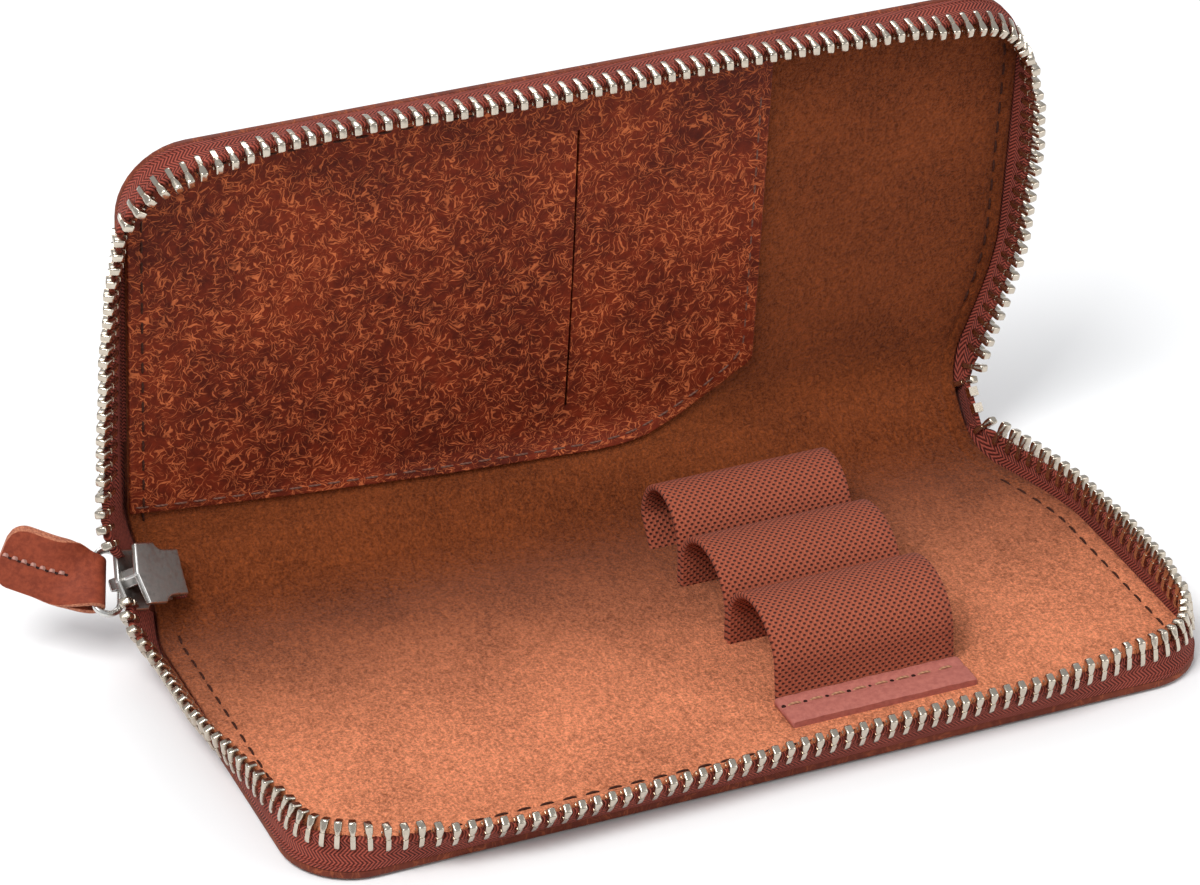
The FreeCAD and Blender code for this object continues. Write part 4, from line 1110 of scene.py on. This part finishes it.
def loop_line(case, index, skin, steps=34):
    """Side view (y, z) of one elastic loop, drawn in by a skin: front side, arch and back side."""
    front, back = LOOP_EDGES[index] + skin, LOOP_EDGES[index + 1] - skin
    front_foot = LOOP_FRONT_FOOT + skin if index == 0 else front
    back_foot = LOOP_BACK_FOOT - skin if index == 2 else back
    turn = np.linspace(0, math.pi, steps)
    middle, half = (front + back) / 2, (back - front) / 2
    arch = np.stack([middle - half * np.cos(turn),
                     LOOP_SHOULDER + (LOOP_TOPS[index] - LOOP_SHOULDER - skin) * np.sin(turn)], -1)
    share = np.linspace(0, 1, 9)[:, None]
    rise = np.array([front_foot, case.stack]) * (1 - share) + arch[0] * share
    fall = arch[-1] * (1 - share) + np.array([back_foot, case.stack]) * share
    return np.concatenate([rise[:-1], arch, fall[1:]])


def build_loops(case):
    """The elastic band, standing as three pen loops."""
    shape = Shape()
    left, right = BAND_LEFT, BAND_LEFT + case.band_width
    inner_width = (case.band_width - 2 * BAND_ROUNDING) * np.linspace(0, 1, 15)
    x = np.concatenate([left + BAND_ROUNDING + inner_width, [right, right],
                        right - BAND_ROUNDING - inner_width, [left, left]])
    depth = np.concatenate([np.zeros(15), [0.3, 0.7], np.ones(15), [0.7, 0.3]])
    for index in range(3):
        outer, inner = loop_line(case, index, 0.0), loop_line(case, index, case.elastic)
        middle = outer[:, None] * (1 - depth)[None, :, None] + inner[:, None] * depth[None, :, None]
        travel = travelled(outer) + WEAVE_SHIFT * index
        shape.tube(stacked(x, middle[..., 0], middle[..., 1]), stacked(x, travel[:, None], depth))
    band = shape.piece("elastic_loops", "elastic", 55)
    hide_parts("pen_loop_front", "pen_loop_middle", "pen_loop_back")
    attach(band, "tray")


def build_tab(case):
    """The leather tab over the band's front end, with its row of stitches."""
    left, right = BAND_LEFT - TAB_MARGIN, BAND_LEFT + case.band_width + TAB_MARGIN
    y = np.linspace(LOOP_FRONT_FOOT - TAB_DEPTH, LOOP_FRONT_FOOT, 15)
    front, back = y[0], y[-1]
    seam = back - TAB_SEAM_INSET
    top = case.stack + TAB_THICKNESS
    for middle, depth, reach in ((seam, 0.28, 0.7), (front, 0.16, 0.5), (back, 0.1, 0.4)):
        top = top - depth * np.exp(-((y - middle) / reach) ** 2)
    shape = Shape()
    rings = []
    columns = [(left + inset, drop, draw) for inset, drop, draw in TAB_ROUNDING]
    columns += [(left + 0.5 + (right - left - 1) * i / 20, 0.0, 0.0) for i in range(1, 20)]
    columns += [(right - inset, drop, draw) for inset, drop, draw in reversed(TAB_ROUNDING)]
    for x, drop, draw in columns:
        dip = 0.05 * math.sin(x * 1.7) + 0.04 * math.sin(x * 0.6)
        upper = stacked(x, np.clip(y, front + draw, back - draw), top - drop + dip)
        under = stacked(x, [back - draw, (front + back) / 2, front + draw], case.stack + drop * 0.5)
        rings.append(np.concatenate([upper, under]))
    rings = np.array(rings)
    shape.tube(rings, rings)
    tab = shape.piece("loop_tab", "tab_leather", 55)
    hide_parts("band_tab")
    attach(tab, "tray")
    row = Shape()
    height = case.stack + TAB_THICKNESS - TAB_STITCH_DEPTH
    x = left + TAB_SEAM_MARGIN
    while x + case.stitch <= right - TAB_SEAM_MARGIN:
        add_thread(row, (x, seam, height), (x + case.stitch, seam, height), (0, 0, 1), case.thread / 2)
        hole = (x - (case.stitch_pitch - case.stitch) / 2, seam, height + 0.02)
        add_hole(row, hole, (0, 0, 1), TAB_HOLE_RADIUS)
        x += case.stitch_pitch
    stitches = row.piece("loop_tab_stitches", "tan_thread", paints=("tan_thread", "needle_hole"))
    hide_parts("band_tab_stitches")
    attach(stitches, "tray")


def pocket_low(x):
    """Rise of the pocket's lower edge above the fold line."""
    spots = np.array(POCKET_EDGE)
    return np.interp(x, spots[:, 0], spots[:, 1])


def build_pocket(case):
    """The slip pocket with its slit, its lower point on the bend, and its seam."""
    edge = LINING_INSET + POCKET_INSET
    radius = case.corner_radius - edge
    arc = np.linspace(0, math.pi / 2, 9)
    corner_x = -case.half_length + case.corner_radius - radius * np.cos(arc)
    corner_top = case.panel_end - case.corner_radius + radius * np.sin(arc)
    left_x = np.linspace(corner_x[-1], SLIT_X - SLIT_WIDTH / 2, 24)[1:]
    right_x = np.append(np.linspace(SLIT_X + SLIT_WIDTH / 2, 20.0, 14), POCKET_CUT_ROWS)
    x = np.concatenate([corner_x, left_x, right_x])
    top = np.append(corner_top, np.full(len(left_x) + len(right_x), case.panel_end - edge))
    slit_row = len(corner_x) + len(left_x) - 1
    low_at_slit = pocket_low(SLIT_X)
    span = case.panel_depth - edge - low_at_slit
    slit_from, slit_to = (SLIT_LOW - low_at_slit) / span, (SLIT_HIGH - low_at_slit) / span
    before, after = SLIT_COLUMNS
    columns = np.concatenate([np.linspace(0, slit_from, before + 1),
                              np.linspace(slit_from, slit_to, after - before + 1)[1:],
                              np.linspace(slit_to, 1, 5)[1:]])

    def outline(inset):
        """Lower and upper ends (x, q) of the pocket's rows at an inset."""
        across = np.clip(x, x[0] + inset, x[-1] - inset)
        low = case.half_spine + pocket_low(x) + inset
        return np.stack([across, low], -1), np.stack([across, top - inset], -1)

    def relief(across, q):
        """How far the pocket stands off the lid: most at the slit's left lip, a little at its open side."""
        rise = q - case.half_spine
        along = np.clip((rise - SLIT_LOW) / (SLIT_HIGH - SLIT_LOW), 0, 1)
        off_slit = across - SLIT_X
        lip = np.where(off_slit < 0, np.exp(off_slit / 5.0), 0.25 * np.exp(-off_slit / 3.0))
        side = np.exp(-((across - POCKET_RIGHT) / 2.0) ** 2) * np.clip((72 - rise) / 30, 0, 1)
        return SLIT_LIFT * lip * np.sin(math.pi * along) + side * OPEN_SIDE_LIFT

    shape = Shape()
    profile = cut_edge(case.stack + POCKET_GAP, case.stack + case.pocket_leather, 0.3)
    add_sheet(shape, case, outline, profile, columns, -1, closed=True,
              hole=(slit_row, slit_row + 1, before, after), relief=relief)
    pocket = shape.piece("slip_pocket", "pocket_leather", 55)
    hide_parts("pocket_panel", "pocket_point")
    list(fold_ends(case, -1))
    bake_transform(pocket)

    side_x = POCKET_RIGHT - POCKET_SEAM_INSET
    spots = np.append(np.arange(-79.0, side_x - 3.0, 3.0), side_x - 1.6)
    corners = list(zip(spots, pocket_low(spots + SLANT_SEAM_SHIFT) + POCKET_SEAM_INSET))
    corners += [(side_x, POCKET_EDGE[-1][1] + SLANT_SEAM_RISE),
                (side_x, case.panel_depth - SEAM_INSET["lid"] - case.stitch_pitch)]
    corners = np.array(corners)
    travel = travelled(corners)
    seam = Shape()
    height = case.stack + case.pocket_leather - POCKET_STITCH_DEPTH
    for begin in np.arange(0, travel[-1] - POCKET_STITCH, POCKET_STITCH_PITCH):
        reach = np.array([begin, begin + POCKET_STITCH])
        a = np.interp(reach, travel, corners[:, 0])
        q = -case.half_spine - np.interp(reach, travel, corners[:, 1])
        start, stop = case.place(a, q, height)
        up = unit(case.place(a[0], q.mean(), height + 1) - case.place(a[0], q.mean(), height))
        add_thread(seam, start, stop, up, case.thread * 0.42)
    stitches = seam.piece("slip_pocket_seam", "light_thread", paints=("pocket_thread",))
    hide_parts("pocket_stitches", "pocket_point_stitches")
    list(fold_ends(case, -1))
    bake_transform(stitches)


def bevelled(shape, name, width, segments=3):
    """A zinc piece with its sharp edges bevelled and the bevels polished."""
    made = shape.piece(name, "slider_zinc", 35, ("slider_zinc", "polished_zinc"))
    work = bmesh.new()
    work.from_mesh(made.data)
    edges = [edge for edge in work.edges
             if len(edge.link_faces) == 2 and edge.calc_face_angle() > math.radians(25)]
    bmesh.ops.bevel(work, geom=edges, offset=width * MM, segments=segments, affect="EDGES", profile=0.6,
                    clamp_overlap=True, material=1)
    work.to_mesh(made.data)
    work.free()
    made.data.shade_smooth()
    made.data.set_sharp_from_angle(angle=math.radians(38))
    return made


def build_slider(case):
    """The slider: two plates with a pointed nose and notched tail corners, wedge, lips and crown."""
    half_gap = SLIDER_GAP / 2
    tail = SLIDER_TAIL_HALF_WIDTH
    half = [(-SLIDER_THROAT, SLIDER_SHOULDER), *SLIDER_NOTCH, (SLIDER_TAIL, tail)]
    outline = [(-SLIDER_NOSE, 0)] + half + [(SLIDER_TAIL - 0.1, 0)] + [(a, -b) for a, b in reversed(half)]
    along, across = np.array(outline).T
    shape = Shape()
    for low in (half_gap, -half_gap - SLIDER_PLATE):
        shape.prism(case.at_slider(along, across, low), case.inward * SLIDER_PLATE)
    wedge = [(0.8 - SLIDER_NOSE, 0), (-SLIDER_THROAT, 1.6), (-1.55, 0.4), (-1.55, -0.4),
             (-SLIDER_THROAT, -1.6)]
    along, across = np.array(wedge).T
    shape.prism(case.at_slider(along, across, -half_gap - SLIDER_SINK),
                case.inward * (SLIDER_GAP + 2 * SLIDER_SINK))
    for side in (-1, 1):
        outer, inner = side * tail, side * (tail - LIP_WIDTH)
        along = [LIP_START, SLIDER_TAIL, SLIDER_TAIL, LIP_START]
        for low in (-half_gap - SLIDER_SINK, half_gap - 0.7):
            shape.prism(case.at_slider(along, [outer, outer, inner, inner], low), case.inward)
    slider = bevelled(shape, "slider_casting", 0.28)
    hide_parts("slider_body")
    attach(slider, "slider")

    root = SLIDER_SINK - half_gap - SLIDER_PLATE
    top = -half_gap - SLIDER_PLATE - CROWN_HEIGHT
    under = top + CROWN_STOCK
    end = CROWN_START + CROWN_LENGTH
    first, last = CROWN_START + CROWN_STOCK, end - CROWN_STOCK
    loop = [(CROWN_START, root), (CROWN_START, under), (first, top), (last, top), (end, under), (end, root),
            (last, root), (last, under), (first, under), (first, root)]
    along, inward = np.array(loop).T
    crown_shape = Shape()
    crown_shape.prism(case.at_slider(along, -CROWN_WIDTH / 2, inward), case.along_spine * CROWN_WIDTH)
    crown = bevelled(crown_shape, "slider_bridge", 0.2, 2)
    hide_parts("slider_crown")
    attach(crown, "slider")


class Pull:
    """Directions of the pull: out along it, across it and off its face, from the link's outer bar."""

    def __init__(self, case):
        self.axis = case.along_spine * math.cos(LINK_TILT) + case.run * math.sin(LINK_TILT)
        flat_way = case.along_spine * math.sin(LINK_TILT) - case.run * math.cos(LINK_TILT)
        self.way = flat_way * math.cos(LINK_LIFT) - case.inward * math.sin(LINK_LIFT)
        self.face = np.cross(self.axis, self.way)
        eye = CROWN_START + CROWN_STOCK + EYE_SLACK + LINK_WIRE / 2
        lift = -SLIDER_GAP / 2 - SLIDER_PLATE - CROWN_HEIGHT + CROWN_STOCK + EYE_GAP + LINK_WIRE / 2
        self.bar = case.at_slider(eye, 0, lift) + self.way * (LINK_LENGTH - LINK_WIRE)

    def point(self, out, side, face):
        """A place on the strap, which turns about its length and rises from the link."""
        out, side, face = arrays(out, side, face)
        turn = PULL_TURN * eased(out, 0.0, PULL_TURN_LENGTH)
        rise = PULL_RISE * eased(out, -2.0, 4.0)
        across = side * np.cos(turn) - face * np.sin(turn)
        off = side * np.sin(turn) + face * np.cos(turn)
        ahead = out * np.cos(rise) - across * np.sin(rise)
        across = out * np.sin(rise) + across * np.cos(rise) - PULL_SLIDE
        return (self.bar + ahead[..., None] * self.way + across[..., None] * self.axis
                + off[..., None] * self.face)


def build_pull(case):
    """The leather pull: one strip folded round the link's bar, sewn along its middle."""
    pull = Pull(case)
    bore = LINK_WIRE / 2 + PULL_FIT
    thick = case.pull_leather
    tip = case.pull_length - bore - thick
    middle = bore + thick / 2
    outs = np.concatenate([np.linspace(tip, tip - 3.2, 9), np.linspace(tip - 3.2, PULL_TAPER, 14)[1:]])
    upper = [(out, thick / 2 + 0.01) for out in outs]
    neck = [(PULL_TAPER * (1 - t), thick / 2 + (middle - thick / 2) * eased(t, 0, 1))
            for t in np.linspace(0.1, 0.9, 7)]
    bend = [(-middle * math.sin(t), middle * math.cos(t)) for t in np.linspace(0, math.pi, 13)]
    path = np.array(upper + neck + bend + [(a, -b) for a, b in reversed(upper + neck)])
    ahead = unit(np.gradient(path, axis=0))
    normal = np.stack([-ahead[:, 1], ahead[:, 0]], -1)
    out = path[:, 0]
    end, root = PULL_END_WIDTH / 2, PULL_ROOT_WIDTH / 2
    rounding = np.clip(out - (tip - PULL_CORNER), 0, PULL_CORNER)
    wide = end - PULL_CORNER + np.sqrt(PULL_CORNER ** 2 - rounding ** 2)
    narrow = root + (end - root) * np.clip((out + middle) / (PULL_TAPER + middle), 0, 1)
    across, depth = np.array(STRAP_SECTION).T
    side = np.minimum(wide, narrow)[:, None] * across
    off = np.broadcast_to(thick * depth, side.shape)
    place = path[:, None, :] + normal[:, None, :] * off[..., None]
    shape = Shape()
    shape.tube(pull.point(place[..., 0], side, place[..., 1]), stacked(travelled(path)[:, None], side, off))
    per_step = len(STRAP_SECTION)
    shape.marks = [1 if (k % per_step) in STRAP_CUT_EDGE else 0 for k in range(len(shape.faces))]
    shape.marks[-2:] = [1, 1]
    strap = shape.piece("pull_strap", "pull_leather", paints=("pull_leather", "raw_edge"))
    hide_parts("pull_leather")
    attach(strap, "pull_tab")
    row = Shape()
    for i in range(PULL_STITCHES):
        out = PULL_STITCH_START + PULL_STITCH_PITCH * i
        for sign in (1, -1):
            height = sign * (thick - PULL_STITCH_DEPTH)
            start, stop = pull.point([out, out + PULL_STITCH_LENGTH], 0, height)
            add_thread(row, start, stop, pull.face * sign, PULL_THREAD_RADIUS, 0.2)
            hole = pull.point(out - PULL_HOLE_GAP, 0, sign * (thick + 0.005))
            add_hole(row, hole, pull.face * sign, PULL_HOLE_RADIUS)
    stitches = row.piece("pull_strap_stitches", "light_thread", paints=("light_thread", "needle_hole"))
    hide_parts("pull_stitches")
    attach(stitches, "pull_tab")


def build_zip_ends(case):
    """The joined tape behind the slider and the short tape end on the spine."""
    shape = Shape()
    across = there_and_back(np.linspace(-SLIDER_TAIL_HALF_WIDTH, SLIDER_TAIL_HALF_WIDTH, 9))
    face = np.repeat([case.tape / 2, -case.tape / 2], 9)
    travel = np.linspace(0, 2, 4)[:, None]
    along = SLIDER_TAIL + 0.3 + travel
    wave = 0.06 * np.sin(across * 2 + along)
    shape.tube(case.at_slider(along, across, face + wave), stacked(travel, across, 0))
    tail = shape.piece("zip_tail", "zip_tape")
    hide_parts("zip_tail_tape")
    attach(tail, "spine")

    shape = Shape()
    across = there_and_back(np.linspace(-SHORT_END_HALF_WIDTH, SHORT_END_HALF_WIDTH, 9))
    lift = np.linspace(-case.hinge, SHORT_END_TOP, 6)[:, None]
    x = case.right_edge(case.spine_end) + np.repeat([0.0, case.tape], 9)
    rings = (case.spine_middle + case.spine_normal * lift[..., None]
             + across[:, None] * case.along_spine + stacked(x, 0, 0))
    shape.tube(rings, stacked(across, lift, 0))
    tab = shape.piece("zip_short_end", "zip_tape")
    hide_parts("zip_end_tab")
    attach(tab, "spine")


def finish_hard_parts():
    """Materials of the nodes that keep their own shape."""
    finishes = {"tray_board": "board", "lid_board": "board", "pull_link": "link_steel",
                "zip_top_stops": "nickel_teeth", "zip_bottom_stop": "nickel_teeth"}
    for name, paint in finishes.items():
        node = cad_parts[name]
        node.data.materials.clear()
        node.data.materials.append(paint_named(paint))


# Stage

CAMERA_AZIMUTH = math.radians(-23.685)
CAMERA_ELEVATION = math.radians(31.153)
CAMERA_ROLL = math.radians(0.689)
CAMERA_TARGET = (-0.001495, 0.032241, 0.024749)
CAMERA_DISTANCE = 0.8732
CAMERA_LENS = 156.206
CASE_MIDDLE = Vector((0, 0.03, 0.02))
LAMPS = (("key", (-0.55, -0.35, 0.95), 0.5, 11), ("fill", (0.9, -0.7, 0.6), 0.8, 4),
         ("rim", (0.2, 0.9, 0.8), 0.5, 4))
FLOOR_REACH = 3.0
FLOOR_DROP = -0.0004


def build_camera():
    """The camera at the photograph's viewing angle."""
    a, e, roll = CAMERA_AZIMUTH, CAMERA_ELEVATION, CAMERA_ROLL
    back = Vector((math.sin(a) * math.cos(e), -math.cos(a) * math.cos(e), math.sin(e)))
    right = Vector((math.cos(a), math.sin(a), 0))
    up = right.cross(-back)
    turned_right = right * math.cos(roll) + up * math.sin(roll)
    turned_up = up * math.cos(roll) - right * math.sin(roll)
    data = bpy.data.cameras.new("camera")
    data.sensor_width = 36
    data.lens = CAMERA_LENS
    data.clip_start = 0.01
    camera = placed("camera", data)
    spot = Vector(CAMERA_TARGET) + back * CAMERA_DISTANCE
    turn = Matrix((turned_right, turned_up, back)).transposed()
    camera.matrix_world = Matrix.Translation(spot) @ turn.to_4x4()
    bpy.context.scene.camera = camera


def build_lamp(name, spot, size, watts):
    """A square soft lamp that faces the middle of the case."""
    data = bpy.data.lights.new(name, "AREA")
    data.shape = "SQUARE"
    data.size = size
    data.energy = watts
    lamp = placed(name, data)
    lamp.location = spot
    lamp.rotation_euler = (CASE_MIDDLE - Vector(spot)).to_track_quat("-Z", "Y").to_euler()


def build_floor():
    """A pale floor that keeps the shadow, and a white surround that camera and gloss see."""
    mesh = bpy.data.meshes.new("floor")
    signs = ((-1, -1), (1, -1), (1, 1), (-1, 1))
    mesh.from_pydata([(a * FLOOR_REACH, b * FLOOR_REACH, FLOOR_DROP) for a, b in signs], [], [(0, 1, 2, 3)])
    floor = placed("floor", mesh)
    paint = Material("floor_paint")
    grain = paint.place.noise(0.02, 2.0)
    paint.finish((grain * 0.2).tint(tuple(colours().floor), (0.82, 0.82, 0.82)), 0.9)
    mesh.materials.append(paint.made)
    world = bpy.data.worlds.new("surround")
    bpy.context.scene.world = world
    world.use_nodes = True
    light = world.node_tree.nodes["Background"]
    light.inputs["Color"].default_value = (0.9, 0.92, 0.95, 1.0)
    light.inputs["Strength"].default_value = 0.55


def build_stage():
    """Floor, surround and three lamps."""
    build_floor()
    for lamp in LAMPS:
        build_lamp(*lamp)


# Operators, panel and run

class PENCASE_OT_camera(bpy.types.Operator):
    """Place the camera at the photograph's viewing angle"""

    bl_idname = "pen_case.camera"
    bl_label = "Camera"

    def execute(self, context):
        build_camera()
        return {"FINISHED"}


class PENCASE_OT_cover(bpy.types.Operator):
    """Build the leather cover"""

    bl_idname = "pen_case.cover"
    bl_label = "Leather cover"

    def execute(self, context):
        build_cover(Case())
        return {"FINISHED"}


class PENCASE_OT_lining(bpy.types.Operator):
    """Build the suede lining"""

    bl_idname = "pen_case.lining"
    bl_label = "Suede lining"

    def execute(self, context):
        build_lining(Case())
        return {"FINISHED"}


class PENCASE_OT_zip(bpy.types.Operator):
    """Build the zip's tapes, teeth and ends"""

    bl_idname = "pen_case.zip"
    bl_label = "Zip tapes and teeth"

    def execute(self, context):
        case = Case()
        build_tapes(case)
        build_teeth(case)
        build_zip_ends(case)
        return {"FINISHED"}


class PENCASE_OT_seams(bpy.types.Operator):
    """Sew the seams round the tray and the lid"""

    bl_idname = "pen_case.seams"
    bl_label = "Seams"

    def execute(self, context):
        build_seams(Case())
        return {"FINISHED"}


class PENCASE_OT_loops(bpy.types.Operator):
    """Build the elastic pen loops and their leather tab"""

    bl_idname = "pen_case.loops"
    bl_label = "Pen loops"

    def execute(self, context):
        case = Case()
        build_loops(case)
        build_tab(case)
        return {"FINISHED"}


class PENCASE_OT_pocket(bpy.types.Operator):
    """Build the slip pocket and its seam"""

    bl_idname = "pen_case.pocket"
    bl_label = "Slip pocket"

    def execute(self, context):
        build_pocket(Case())
        return {"FINISHED"}


class PENCASE_OT_slider(bpy.types.Operator):
    """Build the slider and its bridge"""

    bl_idname = "pen_case.slider"
    bl_label = "Slider"

    def execute(self, context):
        build_slider(Case())
        return {"FINISHED"}


class PENCASE_OT_pull(bpy.types.Operator):
    """Build the leather pull and its stitches"""

    bl_idname = "pen_case.pull"
    bl_label = "Leather pull"

    def execute(self, context):
        build_pull(Case())
        return {"FINISHED"}


class PENCASE_OT_hard_parts(bpy.types.Operator):
    """Give the link, stops and boards their materials"""

    bl_idname = "pen_case.hard_parts"
    bl_label = "Link, stops and boards"

    def execute(self, context):
        finish_hard_parts()
        return {"FINISHED"}


class PENCASE_OT_stage(bpy.types.Operator):
    """Build the floor, the surround and the lamps"""

    bl_idname = "pen_case.stage"
    bl_label = "Stage"

    def execute(self, context):
        build_stage()
        return {"FINISHED"}


STEPS = (PENCASE_OT_camera, PENCASE_OT_cover, PENCASE_OT_lining, PENCASE_OT_zip, PENCASE_OT_seams,
         PENCASE_OT_loops, PENCASE_OT_pocket, PENCASE_OT_slider, PENCASE_OT_pull, PENCASE_OT_hard_parts,
         PENCASE_OT_stage)


class PENCASE_PT_panel(bpy.types.Panel):
    """Sizes, colours and the steps that build the pen case"""

    bl_idname = "PENCASE_PT_panel"
    bl_label = "Pen case"
    bl_space_type = "VIEW_3D"
    bl_region_type = "UI"
    bl_category = "Pen case"

    def draw(self, context):
        layout = self.layout
        for group in (context.scene.pen_case_sizes, context.scene.pen_case_colours):
            box = layout.box()
            for name in type(group).__annotations__:
                box.prop(group, name)
        for step in STEPS:
            layout.operator(step.bl_idname)


def register():
    for piece in (CaseSizes, CaseColours) + STEPS + (PENCASE_PT_panel,):
        bpy.utils.register_class(piece)
    bpy.types.Scene.pen_case_sizes = bpy.props.PointerProperty(type=CaseSizes)
    bpy.types.Scene.pen_case_colours = bpy.props.PointerProperty(type=CaseColours)


def unregister():
    del bpy.types.Scene.pen_case_colours
    del bpy.types.Scene.pen_case_sizes
    for piece in reversed((CaseSizes, CaseColours) + STEPS + (PENCASE_PT_panel,)):
        bpy.utils.unregister_class(piece)


def main():
    register()
    bpy.context.scene.view_settings.view_transform = "Standard"
    for step in STEPS:
        group, name = step.bl_idname.split(".")
        getattr(getattr(bpy.ops, group), name)()


if __name__ == "__main__":
    main()
